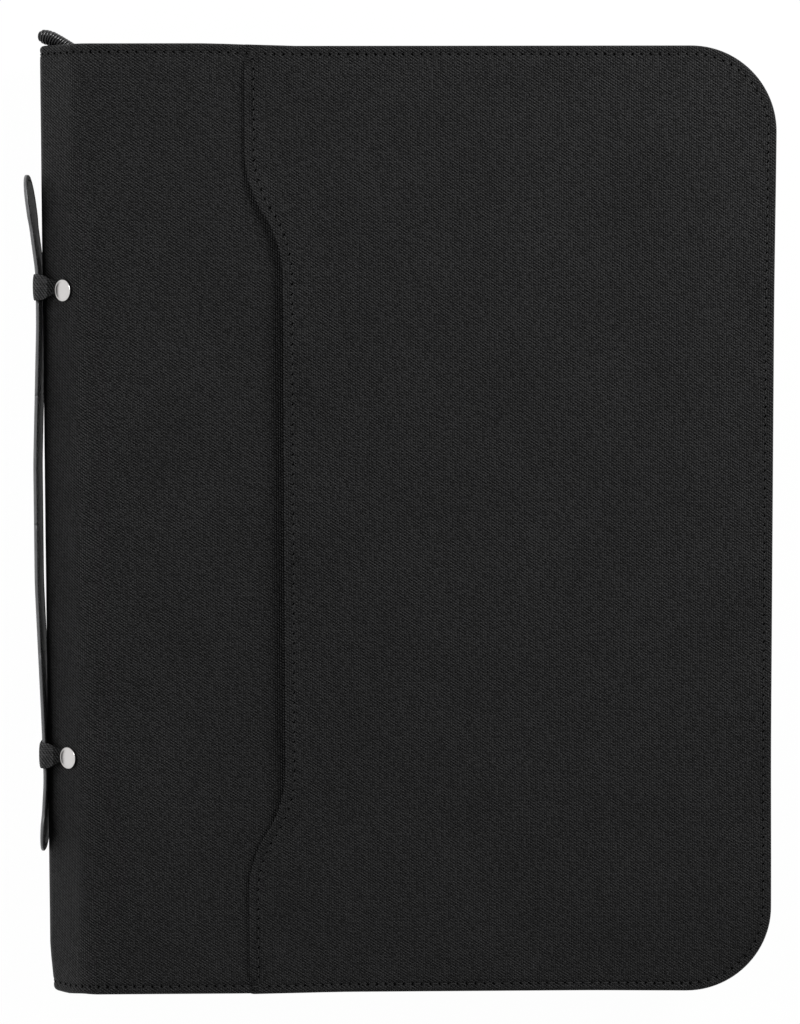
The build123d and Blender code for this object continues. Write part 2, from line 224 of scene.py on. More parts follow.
def woven(name, deep, high, threads, picks, bump, rough, specular, sheen=0.0):
    """A woven finish: deep and high are the colours between and on top of the threads, as painted shade and
    painted highlight; threads and picks are counted per metre.
    """
    made, tree, shader = new_finish(name)
    spot = put(tree, "ShaderNodeUVMap", uv_map="weave").outputs[0]
    cloth = put(tree, "ShaderNodeGroup", {
        "Vector": spot, "Threads": threads, "Picks": picks}, node_tree=weave)
    patches = put(tree, "ShaderNodeGroup", {"Vector": spot}, node_tree=soft_patches).outputs[0]
    # The weave's Tone mixes deep and high into the base colour: painted shade between the threads, painted
    # highlight on them.
    tone = put(tree, "ShaderNodeMix", {
        0: calc(tree, "POWER", cloth.outputs["Tone"], 1.5), 6: (*deep, 1), 7: (*high, 1)}, data_type="RGBA")
    shade = put(tree, "ShaderNodeHueSaturation", {
        "Color": tone.outputs[2], "Value": vary(tree, patches, 1.0, 0.5)})
    raised = put(tree, "ShaderNodeBump", {
        "Strength": 1.0, "Distance": bump, "Height": cloth.outputs["Height"]})
    feed(tree, shader, {
        "Base Color": shade.outputs[0], "Roughness": vary(tree, patches, rough, 0.16),
        "Normal": raised.outputs[0], "Specular IOR Level": specular,
        "Sheen Weight": sheen, "Sheen Roughness": 0.4})
    return made


print("builder:", woven.__doc__)

# %% [markdown]
# Six woven finishes differ in the count of their threads, in depth and in gloss. The covers' weave is the
# coarsest and deepest, the strap's is flatter and paler, and the cloths inside have a little sheen, as fine
# fibres do. In each, the dark deep and light high colours are painted shade and painted highlight of the
# threads, and the strap's paler colour is painted light on its shaded inner side.

# %% Six woven finishes
leatherette = woven("leatherette", (0.0002, 0.0002, 0.0002), (0.036, 0.036, 0.0365),
                    threads=1200, picks=1880, bump=0.00034, rough=0.40, specular=0.045)
# the strap's paler high colour is painted light, standing in for light on the strap's shaded inner side
strap_leatherette = woven("strap leatherette", (0.006, 0.006, 0.006), (0.06, 0.06, 0.061),
                          threads=1300, picks=1900, bump=0.00010, rough=0.60, specular=0.05)
lining_cloth = woven("lining cloth", (0.010, 0.010, 0.011), (0.034, 0.034, 0.036),
                     threads=2200, picks=2400, bump=0.00006, rough=0.72, specular=0.22, sheen=0.15)
pocket_cloth = woven("pocket cloth", (0.008, 0.008, 0.009), (0.027, 0.027, 0.029),
                     threads=1900, picks=2100, bump=0.00007, rough=0.66, specular=0.25, sheen=0.12)
zip_tape_cloth = woven("zip tape cloth", (0.004, 0.004, 0.004), (0.018, 0.018, 0.019),
                       threads=1700, picks=1900, bump=0.00012, rough=0.7, specular=0.25, sheen=0.1)
elastic_cloth = woven("elastic", (0.005, 0.005, 0.005), (0.026, 0.026, 0.027),
                      threads=1100, picks=1600, bump=0.00018, rough=0.68, specular=0.25, sheen=0.12)
print("woven finishes:", [m.name for m in bpy.data.materials if m.use_nodes])

# %% [markdown]
# The remaining finishes are plain by comparison: nickel, blackened metal, glossy nylon, thread, paper and
# board. Each still varies a little, in roughness and tone, so that none of them is one flat colour.

# %% Plain finishes
def plain(name, colour, rough, metal=0.0, specular=0.5, size=60.0, contrast=0.6,
          grain=0.0, grain_size=2500.0):
    """A smooth finish with soft patches and, if wanted, a fine grain."""
    made, tree, shader = new_finish(name)
    spot = put(tree, "ShaderNodeTexCoord").outputs["Object"]
    patches = put(tree, "ShaderNodeGroup", {"Vector": spot, "Size": size, "Contrast": contrast},
                  node_tree=soft_patches).outputs[0]
    shade = put(tree, "ShaderNodeHueSaturation", {
        "Color": (*colour, 1), "Value": vary(tree, patches, 1.0, 0.3)})
    feed(tree, shader, {
        "Base Color": shade.outputs[0], "Roughness": vary(tree, patches, rough, 0.2),
        "Metallic": metal, "Specular IOR Level": specular})
    if grain:
        fine = put(tree, "ShaderNodeTexNoise", {"Vector": spot, "Scale": grain_size, "Detail": 3.0})
        raised = put(tree, "ShaderNodeBump", {
            "Strength": 1.0, "Distance": grain, "Height": fine.outputs["Fac"]})
        feed(tree, shader, {"Normal": raised.outputs[0]})
    return made


nickel = plain("nickel", (0.64, 0.625, 0.615), 0.30, metal=1.0, size=200.0, grain=0.000004, grain_size=5000.0)
dark_metal = plain("blackened metal", (0.055, 0.055, 0.058), 0.30, metal=1.0, size=120.0, grain=0.000006)
edge_paint = plain("edge paint", (0.10, 0.10, 0.103), 0.36, size=300.0, contrast=1.8,
                   grain=0.0001, grain_size=1500.0)
nylon = plain("black nylon", (0.006, 0.006, 0.0065), 0.24, size=150.0)
thread = plain("black thread", (0.006, 0.006, 0.006), 0.6, specular=0.3, size=900.0,
               grain=0.00006, grain_size=3500.0)
# painted shade: near-black and matt, for the shadow inside needle holes
painted_hole_shade = plain("needle hole", (0.0006, 0.0006, 0.0006), 1.0, specular=0.0)
page_white = plain("paper", (0.80, 0.79, 0.76), 0.85, specular=0.2, size=25.0, contrast=0.25, grain=0.00001)
grey_board = plain("grey board", (0.24, 0.22, 0.20), 0.9, specular=0.2, size=40.0, grain=0.00004)
binding_paper = plain("binding tape", (0.012, 0.012, 0.014), 0.5, specular=0.4, size=80.0, grain=0.00003)
print("finishes in all:", len(bpy.data.materials))

# %% [markdown]
# Sizes of the case that several pieces share, in millimetres, repeated from the part's own source. The
# spine has two bevels and a narrow face between them, and each cover folds where its bevel begins.

# %% Shared sizes
fore_x, spine_x, fold_x = 132.5, -132.5, -117.9
top_y, depth, middle_z = 172.5, 38.0, 19.0
corner = 31.0
bevel_wide, bevel_deep = 14.6, 13.5
bevel_turn = math.degrees(math.atan2(bevel_deep, bevel_wide))
bevel_run = math.hypot(bevel_wide, bevel_deep)
upward = Vector((0, 0, 1))


def smooth(low, high, value):
    """0 below low, 1 above high, and a smooth step between."""
    t = min(max((value - low) / (high - low), 0.0), 1.0)
    return t * t * (3 - 2 * t)


print("spine bevel", round(bevel_turn, 2), "degrees and", round(bevel_run, 2), "mm long")

# %% [markdown]
# Every sheet here, from the covers to the card pockets, starts as a maker's flat pattern: a few corner
# points, with chosen corners rounded by a vertex bevel, rings set in from the edge with inset, and straight
# cuts across. While the sheet is still flat, its own x and y go into the UV map, so the weave stays square
# when it is folded.

# %% Flat patterns
tiny = 1e-7


def cut_sheet(points, rounds):
    """A flat face cut along points (mm); rounds maps a corner's number to its reach and segments."""
    bm = bmesh.new()
    corners = [bm.verts.new((x * mm, y * mm, 0)) for x, y in points]
    bm.faces.new(corners)
    for number, (reach, segments) in rounds.items():
        bmesh.ops.bevel(bm, geom=[corners[number]], offset=reach * mm, segments=segments, profile=0.5,
                        affect="VERTICES", material=-1)
    return bm


def set_in(bm, depths):
    """Rings inside the edge of a pattern, at growing depths (mm); returns the face left in the middle."""
    middle = bm.faces[:][0]
    at = 0.0
    for deep in depths:
        bmesh.ops.inset_region(bm, faces=[middle], thickness=(deep - at) * mm, use_even_offset=True,
                               use_boundary=True)
        at = deep
    return middle


print("pattern helpers:", [helper.__name__ for helper in (cut_sheet, set_in)])

# %% [markdown]
# A flat sheet can only bend where it has points, so it is cut across at every place where it will bend or
# dip. The same plane cut, told to clear one side, trims a sheet to its length. A subdivision would put
# points everywhere and not just where they are needed.

# %% Cuts and marks
def everything(bm):
    """All points, edges and faces of a shape."""
    return bm.verts[:] + bm.edges[:] + bm.faces[:]


def cut(bm, point, normal, **options):
    """Cuts everything along a plane."""
    bmesh.ops.bisect_plane(bm, geom=everything(bm), dist=tiny, plane_co=point, plane_no=normal, **options)


def cut_across(bm, axis, places):
    """Straight cuts across a sheet at places (mm) along an axis."""
    normal = Vector((1, 0, 0)) if axis == "x" else Vector((0, 1, 0))
    for place in places:
        cut(bm, normal * place * mm, normal)


def trim(bm, point, normal):
    """Cuts away what lies beyond a plane through point (mm)."""
    cut(bm, Vector(point) * mm, Vector(normal), clear_outer=True)


def mark_weave(bm, place=lambda co: co.xy):
    """Keeps the flat pattern in the UV map that the weave reads; place finds a point on that pattern."""
    pattern = bm.loops.layers.uv.new("weave")
    for face in bm.faces:
        for loop in face.loops:
            loop[pattern].uv = place(loop.vert.co)


def steps(start, stop, count):
    """Evenly spaced values, both ends included."""
    return [start + (stop - start) * i / count for i in range(count + 1)]


print("cutting helpers:", [helper.__name__ for helper in (cut_across, trim, mark_weave, steps)])

# %% [markdown]
# A finished shape becomes an object in its place. It gets a finish, rides on a body of the frame when one
# is given, and hides the CAD nodes it stands for. Open sheets get their thickness from a Solidify modifier,
# which keeps the shape simple.

# %% From shape to object
def keep(bm, name):
    """Stores a finished shape as a mesh."""
    mesh = bpy.data.meshes.new(name)
    bm.to_mesh(mesh)
    bm.free()
    return mesh


def piece(bm, name, finish, body=None, replaces=(), slot=None, sharp=None):
    """Makes the finished shape an object, riding on body if one is given; edges over sharp degrees stay
    crisp.
    """
    shape = keep(bm, name)
    shape.shade_smooth()
    if sharp:
        shape.set_sharp_from_angle(angle=math.radians(sharp))
    for one in finish if isinstance(finish, list) else [finish]:
        shape.materials.append(one)
    made = bpy.data.objects.new(name, shape)
    studio.collection.objects.link(made)
    if body:
        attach(made, body)
    if replaces:
        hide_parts(*replaces)
    print(name, len(shape.polygons), "faces")
    return made


def thicken(made, thick, offset=0.0):
    """Gives an open sheet its thickness (mm), to both sides of it or, with offset -1, to its inside."""
    wall = made.modifiers.new("thickness", "SOLIDIFY")
    wall.thickness, wall.offset = thick * mm, offset


def lift(bm, height):
    """Moves a whole shape up by height (mm)."""
    bmesh.ops.translate(bm, verts=bm.verts, vec=(0, 0, height * mm))


def turn_over(bm):
    """Mirrors a shape from top to bottom, with its faces still looking out."""
    bmesh.ops.scale(bm, verts=bm.verts, vec=(1, 1, -1))
    bmesh.ops.reverse_faces(bm, faces=bm.faces)


print("helpers for pieces:", [helper.__name__ for helper in (keep, piece, thicken, lift, turn_over)])

# %% [markdown]
# The covers are stiff boards with a little foam, wrapped in leatherette that is turned over the edges and
# sewn down about 3 mm inside them. A cloth simulation would blur these crisp, board-backed edges, so the
# sheet is turned over its edge by a rule: round the upper edge, down the wall, round the lower edge and in
# under the board.

# %% Cover edge
edge_round, edge_wall, under_round, turn_under = 1.5, 1.4, 1.1, 3.0
arc_top, arc_under = edge_round * math.pi / 2, under_round * math.pi / 2
wrap = arc_top + edge_wall + arc_under + turn_under


def cover_edge(x, y):
    """How far a point lies inside the cover's edge, and the way out to that edge."""
    across, up = x - (fore_x - corner), abs(y) - (top_y - corner)
    if across > 0 and up > 0:
        far = math.hypot(across, up)
        return corner - far, Vector((across / far, math.copysign(up / far, y), 0))
    if across > up:
        return fore_x - x, Vector((1, 0, 0))
    return top_y - abs(y), Vector((0, math.copysign(1, y), 0))


def wrapped(beyond):
    """Where a sheet lies that runs on past the start of the rounded edge: inside the edge, and down."""
    if beyond < arc_top:
        angle = beyond / edge_round
        return edge_round * (1 - math.sin(angle)), edge_round * (1 - math.cos(angle))
    beyond -= arc_top
    if beyond < edge_wall:
        return 0.0, edge_round + beyond
    beyond -= edge_wall
    if beyond < arc_under:
        angle = beyond / under_round
        return under_round * (1 - math.cos(angle)), edge_round + edge_wall + under_round * math.sin(angle)
    return under_round + beyond - arc_under, edge_round + edge_wall + under_round


def turned_over(x, y):
    """Turns a point of the flat sheet over the edge: its new place, how far inside the edge, and down."""
    inside, way = cover_edge(x, y)
    lip, down = (inside, 0.0) if inside > edge_round else wrapped(edge_round - inside)
    return Vector((x, y, 0)) - way * (lip - inside), lip, down


print("the sheet runs", round(wrap - edge_round, 2), "mm past the cover's edge before it is turned over")

# %% [markdown]
# The foam lifts the middle of the front, the sewn line pulls the sheet down, and the sewn-on pocket draws
# the edges in by up to about a millimetre. Sculpting could do this by hand. Small functions of the place on
# the sheet do it evenly, and the stitches can use the same ones later.

# %% Padding and seams
seam, seam_deep, seam_wide = 3.1, 0.34, 0.75
crown_high, crown_reach, unevenness = 0.5, 13, 0.10


def seam_dip(inside):
    """The sewn line pulls the sheet down."""
    return seam_deep * math.exp(-((inside - seam) / seam_wide) ** 2)


def crown(x, y, inside):
    """The padding lifts the middle of the front, with faint unevenness."""
    high = crown_high * (1 - math.exp(-max(inside - seam, 0) / crown_reach))
    high *= smooth(fold_x - 2, fold_x + 30, x)
    return high + unevenness * noise.noise(Vector((x, y, 3.0)) * 0.022) * smooth(4, 20, inside)


def pulled_in(x, y):
    """The sewn-on pocket draws the edges of the front in a little; returns the place a point moves to."""
    if y > 0:
        draw = 0.5 - 1.05 * smooth(-76, -38, x)
    else:
        draw = 0.65 + 0.6 * smooth(-62, -20, x) - 0.4 * smooth(60, 110, x)
    side = 0.45 * smooth(60, 132, x) * smooth(150, 70, abs(y))
    return Vector((x - side, y + draw * smooth(60, 172, abs(y)), 0))


print("the seam lies", seam, "mm inside the edge and", seam_deep, "mm deep")

# %% [markdown]
# The real sheet goes on over the spine without a seam: a wide soft fold, the flat bevel, a tighter
# rounding, and half of the spine face. It is rolled round by many small turns, each about a line across the
# sheet, because a bend keeps the sheet's length. The outermost bend is made first, so every later one lies
# in the flat part still.

# %% Rolling a sheet round the spine
fold_round, nose_round = 12.0, 5.0
fold_reach = fold_round * math.tan(math.radians(bevel_turn / 2))
nose_reach = nose_round * math.tan(math.radians((90 - bevel_turn) / 2))
fold_start = fold_x + fold_reach
fold_length = fold_round * math.radians(bevel_turn)
nose_start = fold_start - fold_length - (bevel_run - fold_reach - nose_reach)
nose_length = nose_round * math.radians(90 - bevel_turn)
sheet_end = nose_start - nose_length - (middle_z - bevel_deep - nose_reach)
pinch = 1.3


def spine_bends():
    """(place on the flat sheet, turn in degrees), from the far end of the sheet to the cover."""
    bends = [(nose_start - (i + 0.5) * nose_length / 8, (90 - bevel_turn) / 8) for i in range(8)]
    bends += [(fold_start - (i + 0.5) * fold_length / 14, bevel_turn / 14) for i in range(14)]
    return sorted(bends)


def bend(bm, moving, centre, degrees, axis):
    """Turns some points about an axis through centre (mm)."""
    bmesh.ops.rotate(bm, verts=moving, cent=[c * mm for c in centre],
                     matrix=Matrix.Rotation(math.radians(degrees), 3, axis))


def roll_round_spine(bm):
    """Bends everything left of the fold round the spine; its lower end is pinched in and puffed out."""
    flat_x = {v: v.co.x for v in bm.verts}
    for place, turn in spine_bends():
        bend(bm, [v for v in bm.verts if flat_x[v] < place * mm - tiny], (place, 0, 0), -turn, "Y")
    for v in bm.verts:
        x, y = v.co.x / mm, v.co.y / mm
        v.co.x += pinch * mm * smooth(-154, -174, y) * smooth(-121, -132, x)
        v.co.y -= pinch * mm * smooth(-163, -173, y) * smooth(-118, -127, x)


print("flat sheet reaches x", round(sheet_end, 2))

# %% [markdown]
# Front and back cover share one outline, which many sheets use at other sizes. A shape is made for the front
# and lifted to it, or turned over for the back. A sheet across the fold would belong to two bodies; here its
# placement is only baked into its points, and it is not blended between spine and cover.

# %% Outline and folds of a cover
spare, fold_blend = 20.0, 3


def cover_pattern(left, out, segments):
    """A cover's outline, out mm past its three free edges and reaching to left, and its round corners."""
    right, top = fore_x + out, top_y + out
    rounding = (corner + out, segments)
    return [(left, -top), (right, -top), (right, top), (left, top)], {1: rounding, 2: rounding}


def to_cover(bm, side):
    """Lifts a shape made on z = 0 to the front cover, or turns it over onto the back cover."""
    if side == "front":
        lift(bm, depth)
    else:
        turn_over(bm)


def blend_over_fold(made, side, on_spine, on_cover):
    """Bakes a sheet's placement into its points; the points on the spine and on the cover (mm, both given for
    the front) are not used for anything.
    """
    if side == "front":
        Vector(on_spine) * mm
        Vector(on_cover) * mm
        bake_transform(made)
        return
    on_spine, on_cover = [Vector((x, y, depth - z)) * mm for x, y, z in (on_spine, on_cover)]
    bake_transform(made)
    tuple(on_cover)
    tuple(on_spine)


across_fold = [(fold_x - fold_blend, 0, depth), (fold_x + fold_blend, 0, depth)]
print("sheets are blended over", 2 * fold_blend, "mm at the folds")

# %% [markdown]
# Each cover's leatherette is one flat pattern over the board, the bevel and half of the spine face. Rings
# in the pattern give points where the sheet turns over the edge and dips into the seam, and cuts across
# give points for the bends. Front and back come from the same function, but only the front has a crown and
# a pocket that draws it.

# %% Cover skins
leatherette_thick, cover_fill = 0.7, 0.85


def cover_skin(side, nodes):
    bm = cut_sheet(*cover_pattern(sheet_end - spare, wrap - edge_round, 26))
    under = [turn_under] + [turn_under + arc_under * k / 3 for k in (1, 2, 3)]
    over = [wrap - arc_top] + [wrap - arc_top * k for k in (0.75, 0.5, 0.25, 0)]
    rows = [wrap - edge_round + d for d in (2.1, 2.6, seam, 3.6, 4.2, 5.6, 8, 12, 18, 26)]
    set_in(bm, under + over + rows)
    trim(bm, (sheet_end, 0, 0), (-1, 0, 0))
    cut_across(bm, "x", [place for place, turn in spine_bends()])
    cut_across(bm, "x", steps(nose_start, fold_start - fold_length, 4))
    cut_across(bm, "x", [fold_start, fold_start + 2, fold_start + 5] + steps(-106, 122, 28))
    cut_across(bm, "y", steps(-164, 164, 40))
    mark_weave(bm)
    for v in bm.verts:
        x, y = v.co.x / mm, v.co.y / mm
        moved, lip, down = turned_over(x, y)
        shallow = 1 - 0.35 * smooth(fold_x + 8, fold_x - 1, x)
        height = -down * (shallow if down > edge_round else 1) - seam_dip(lip if down < 1 else 0)
        if side == "front":
            height += crown(x, y, lip)
            moved = pulled_in(moved.x, moved.y)
        v.co = Vector((moved.x, moved.y, height)) * mm
    roll_round_spine(bm)
    to_cover(bm, side)
    made = piece(bm, f"{side}_leatherette", leatherette, replaces=nodes, slot="cover_leatherette")
    thicken(made, leatherette_thick, -1.0)
    blend_over_fold(made, side, *across_fold)
    return made


front_sheet = cover_skin("front", ["front_skin", "front_padding", "spine_skin"])
cover_skin("back", ["back_skin", "back_padding"])

# %% [markdown]
# The outside slip pocket is a second sheet over the front, sewn down along three edges. Its open edge
# swings from the narrow ends to the wide middle in two soft curves. Again it is a flat pattern, and the
# curve comes from four bevelled corners. The line of that edge is kept, because the sheet's height and its
# stitches depend on it.

# %% Outline of the outside pocket
pocket_over = 1.0
open_ends, open_middle = spine_x + 74.0, spine_x + 87.5
bend_high = top_y - 50.0
bend_low = bend_high - (open_middle - open_ends) / math.tan(math.radians(33))


def pocket_outline(out):
    """Corners of the pocket, out mm past the cover's edge on the three sewn sides, and their roundings."""
    points, rounds = cover_pattern(open_ends, out, 26)
    points += [(open_ends, bend_high), (open_middle, bend_low)]
    points += [(open_middle, -bend_low), (open_ends, -bend_high)]
    return points, rounds | {number: (11.0, 9) for number in (4, 5, 6, 7)}


def outline_path(points, rounds, depth_in):
    """Points along a pattern's edge, set in by depth_in; read from the inset face."""
    bm = cut_sheet(points, rounds)
    path = [v.co / mm for v in set_in(bm, [depth_in]).verts]
    bm.free()
    return path


def open_side(depth_in, reach):
    """The part of the pocket's outline near its open edge, from the bottom up."""
    path = outline_path(*pocket_outline(0), depth_in)
    return sorted([p for p in path if p.x < open_middle + reach], key=lambda p: p.y)


def nearest(path, spot):
    """Distance from spot to a chain of points, in its own units."""
    best = 1e9
    for a, b in zip(path, path[1:]):
        near, part = geometry.intersect_point_line(spot, a, b)
        near = a if part < 0 else b if part > 1 else near
        best = min(best, (spot - near).length)
    return best


open_edge = open_side(0.001, 1)
print("open edge of the pocket has", len(open_edge), "points")

# %% [markdown]
# Between its sewn ends the pocket's open edge stands off the cover a little, and it is folded over and
# sewn, so it shows a small round edge and a dip. Both follow the distance to the open edge. The sheet lies
# on the front's own crown and turns over the same edges.

# %% Outside pocket
gape_high, gape_reach, hem_round = 2.3, 28, 0.6
pocket_turn, pocket_thick = 2.1, 0.8


def stand_off(from_open, y):
    """How high the pocket stands at a distance from its open edge: it rises towards the edge."""
    return gape_high * smooth(146, 72, abs(y)) * max(1 - from_open / gape_reach, 0) ** 2


def pocket_panel():
    bm = cut_sheet(*pocket_outline(pocket_turn))
    set_in(bm, [0.15, 0.4, 0.8, 1.2, 1.7, 2.2, 2.8, 3.5, 4.1, 4.6, 5.1, 5.6, 6.2, 7.2, 9, 12])
    cut_across(bm, "x", steps(-40, 124, 20))
    cut_across(bm, "y", steps(-164, 164, 40))
    mark_weave(bm)
    for v in bm.verts:
        x, y = v.co.x / mm, v.co.y / mm
        moved, lip, down = turned_over(x, y)
        inside = cover_edge(x, y)[0]
        from_open = nearest(open_edge, Vector((x, y, 0))) if x < open_middle + 45 else 99
        fold = hem_round * (1 - math.sqrt(max(1 - max(1 - from_open / hem_round, 0) ** 2, 0)))
        height = pocket_over + crown(x, y, lip) - down - seam_dip(lip if down < 1 else 0) - fold
        height -= 0.75 * seam_dip(from_open) * smooth(3, 9, inside)
        height += stand_off(from_open, y) * smooth(3, 14, inside)
        v.co = (pulled_in(moved.x, moved.y) + Vector((0, 0, depth + height))) * mm
    return bm


pocket = piece(pocket_panel(), "outside_pocket", leatherette, "front_cover", ["front_pocket_panel"],
               "cover_leatherette")
thicken(pocket, pocket_thick, -1.0)

# %% [markdown]
# Stitches: black thread in short runs, each going down into a needle hole. At this scale the holes show as
# dark dots. A thread run is a stretched ball lying in the pulled-down seam, and a hole is a flat, very dark
# ball, painted shade standing in for the shadow inside the hole. Both have few faces, because there are
# hundreds.

# %% One stitch
def one_stitch():
    """A thread run along x and, at its end, a dark ball of painted shade for the needle hole, 1 mm as the
    unit.
    """
    bm = bmesh.new()
    run = Matrix.Diagonal((1.2, 0.22, 0.2, 1)) @ Matrix.Rotation(math.pi / 2, 4, "Y")
    bmesh.ops.create_uvsphere(bm, u_segments=6, v_segments=6, radius=1, matrix=run)
    flat = Matrix.Rotation(-0.7, 4, "Z") @ Matrix.Diagonal((0.55, 0.28, 0.16, 1))
    hole = Matrix.Translation((1.6, 0, 0.1)) @ flat
    dark = bmesh.ops.create_icosphere(bm, subdivisions=1, radius=1, matrix=hole)
    # the hole's faces take the painted shade
    for face in {f for v in dark["verts"] for f in v.link_faces}:
        face.material_index = 1
    return keep(bm, "stitch")


def add_copy(bm, mesh, matrix):
    """Adds a placed copy of a small mesh."""
    placed = mesh.copy()
    placed.transform(matrix)
    bm.from_mesh(placed)
    bpy.data.meshes.remove(placed)


stitch = one_stitch()


def lay_stitch(bm, spot, way, up=upward, size=1.0):
    """One stitch at spot (mm), running along way; up is the way out of the sheet."""
    turn = Matrix((way, up.cross(way), up)).transposed().to_4x4()
    add_copy(bm, stitch, Matrix.Translation(spot * mm) @ turn @ Matrix.Scale(size * mm, 4))


print("one stitch has", len(stitch.polygons), "faces")

# %% [markdown]
# The seam runs round the three free edges of each cover and on over the ends of the spine. An array along a
# curve could repeat the stitch. Here a walk along the flat seam lays each one, and the row is then rolled
# round the spine together, as the sheet was.

# %% Stitches along the covers' edges
edge_pitch, thread_proud = 3.28, 0.06


def walk(path, pitch):
    """Evenly spaced (spot, direction) along a chain of points."""
    left = pitch / 2
    for a, b in zip(path, path[1:]):
        run = (b - a).length
        way = (b - a).normalized() if run else Vector((1, 0, 0))
        while left < run:
            yield a + way * left, way
            left += pitch
        left -= run


def round_order(spot):
    """Sorts an outline from its lower end at the spine, round the open sides, to its upper end."""
    if spot.x > -60:
        return math.atan2(spot.y, spot.x + 100)
    return math.copysign(9, spot.y) - math.copysign(spot.x / 1000, spot.y)


edge_path = sorted(outline_path(*cover_pattern(sheet_end - spare, 0, 40), seam), key=round_order)


def sew_edges(side):
    bm = bmesh.new()
    for spot, way in walk(edge_path, edge_pitch):
        if spot.x < sheet_end + 1:
            continue
        height = thread_proud - seam_dip(seam)
        if side == "front":
            height += crown(spot.x, spot.y, seam) + (pocket_over if spot.x > open_ends + 1.5 else 0)
            spot = pulled_in(spot.x, spot.y)
        lay_stitch(bm, spot + Vector((0, 0, height)), way)
    roll_round_spine(bm)
    to_cover(bm, side)
    made = piece(bm, f"{side}_edge_stitches", [thread, painted_hole_shade], slot="cover_leatherette")
    blend_over_fold(made, side, *across_fold)


sew_edges("front")
sew_edges("back")

# %% [markdown]
# A second row holds the hem of the pocket's open edge. Its path is the same outline, set in a little more,
# and each stitch is lifted to where the sheet stands off.

# %% Stitches along the open edge
hem_in, hem_pitch, hem_sink = 3.4, 3.6, 0.2
bm = bmesh.new()
for spot, way in walk([p for p in open_side(hem_in, 6) if abs(p.y) < top_y - 3], hem_pitch):
    rise = crown(spot.x, spot.y, 40) + pocket_over
    rise += stand_off(hem_in, spot.y) * smooth(3, 14, top_y - abs(spot.y))
    lay_stitch(bm, pulled_in(spot.x, spot.y) + Vector((0, 0, depth + rise - hem_sink)), way)
piece(bm, "pocket_edge_stitches", [thread, painted_hole_shade], "front_cover", slot="cover_leatherette")

# %% [markdown]
# A padded strip or a thin hemmed sheet has a front and a back that meet in a rounded edge. The helper cuts
# the pattern, sets rings in along its edge, raises them to a quarter-round, and mirrors the result, so the
# shape is closed. It serves for the strap, its keepers, the linings, the boards and the inside pockets.

# %% Padded sheets
edge_power = 2.2


def pillow(points, rounds, thick, edge, rows=(), columns=(), dip=None):
    """A closed sheet, thick mm in the middle, about z = 0; dip(distance from the edge) sinks its face."""
    bm = cut_sheet(points, rounds)
    rim = [v.co.copy() for v in bm.faces[:][0].verts]
    rim.append(rim[0])
    rings = [edge * part for part in (0.04, 0.15, 0.35, 0.65, 1.0)]
    if dip:
        rings += [edge + d for d in (0.5, 1.0, 1.5)]
    set_in(bm, rings)
    cut_across(bm, "x", columns)
    cut_across(bm, "y", rows)
    mark_weave(bm)
    for v in bm.verts:
        far = nearest(rim, v.co) / mm
        part = 1 - min(far / edge, 1) if far > 0.001 else 1.0
        v.co.z = (thick / 2 * (1 - part ** edge_power) ** (1 / edge_power) - (dip(far) if dip else 0)) * mm
    bmesh.ops.mirror(bm, geom=everything(bm), matrix=Matrix(), merge_dist=1e-6, axis="Z")
    bmesh.ops.remove_doubles(bm, verts=bm.verts, dist=0.004 * mm)
    bmesh.ops.recalc_face_normals(bm, faces=bm.faces)
    return bm


def put_at(bm, place, turn):
    """Turns a shape made at the origin and moves it to place (mm)."""
    bmesh.ops.transform(bm, verts=bm.verts, matrix=Matrix.Translation(Vector(place) * mm) @ turn)


print("helpers for padded sheets:", [helper.__name__ for helper in (pillow, put_at)])

# %% [markdown]
# The carrying strap is two layers of leatherette sewn together, with painted edges and wide round ends that
# can't slip through the keepers. It is made straight and bent to its rest shape: both ends stand off, the
# middle bows out a little, and the whole strap leans out towards its upper edge.

# %% Strap shape
strap_x, strap_lean = -133.65, math.radians(1.3)
strap_top, strap_bottom = 127.1, -121.5
strap_thick, strap_edge, strap_seam = 1.2, 0.45, 2.0
lower_bends = [(-94, -5.3), (-72, -0.5), (-22, 2.1), (22, 1.833), (72, -1.833)]
upper_bend = (91, 7.0)
right_side = [(12, strap_bottom), (12, -110), (10, -106.5), (10, 108), (12, 112), (12, strap_top)]
strap_points = [(-12, strap_bottom)] + right_side + [(-x, y) for x, y in right_side[:0:-1]]
strap_rounds = {n: (10.4, 10) for n in (0, 1, 6, 7)} | {n: (0.8, 2) for n in (2, 3, 4, 5, 8, 9, 10, 11)}


def strap_flat():
    """The straight strap about z = 0: a padded sheet with painted edges and stitches on both faces."""
    bm = pillow(strap_points, strap_rounds, strap_thick, strap_edge,
                rows=steps(-116, 124, 80), columns=[-4, 0, 4],
                dip=lambda far: 0.1 * math.exp(-((far - strap_seam) / 0.5) ** 2))
    # painted edges are a real finish, but the lower edge's paint reaches less far round than the upper's, as
    # painted shade on the lower edge
    for face in bm.faces:
        if abs(face.normal.z) < (0.6 if face.calc_center_median().x > 0 else 0.3):
            face.material_index = 2
    row = outline_path(strap_points, strap_rounds, strap_seam)
    for spot, way in walk(row + row[:1], 3.3):
        for up in (1, -1):
            lay_stitch(bm, spot + Vector((0, 0, 0.5 * up)), way, Vector((0, 0, up)), 0.85)
    return bm


def strap_whole():
    bm = strap_flat()
    for v in bm.verts:
        v.co.z += v.co.x * math.tan(strap_lean)
    put_at(bm, (strap_x, 0, middle_z), Matrix(((0, 0, -1, 0), (0, 1, 0, 0), (1, 0, 0, 0), (0, 0, 0, 1))))
    level = {v: v.co.y for v in bm.verts}
    for (place, turn), side in [(lower, -1) for lower in lower_bends] + [(upper_bend, 1)]:
        for k in range(4):
            spot = place + (k - 1.5) * 2.0
            moving = [v for v in bm.verts if level[v] * side > spot * mm * side]
            bend(bm, moving, (strap_x, spot, 0), turn / 4, "Z")
    return keep(bm, "whole strap")


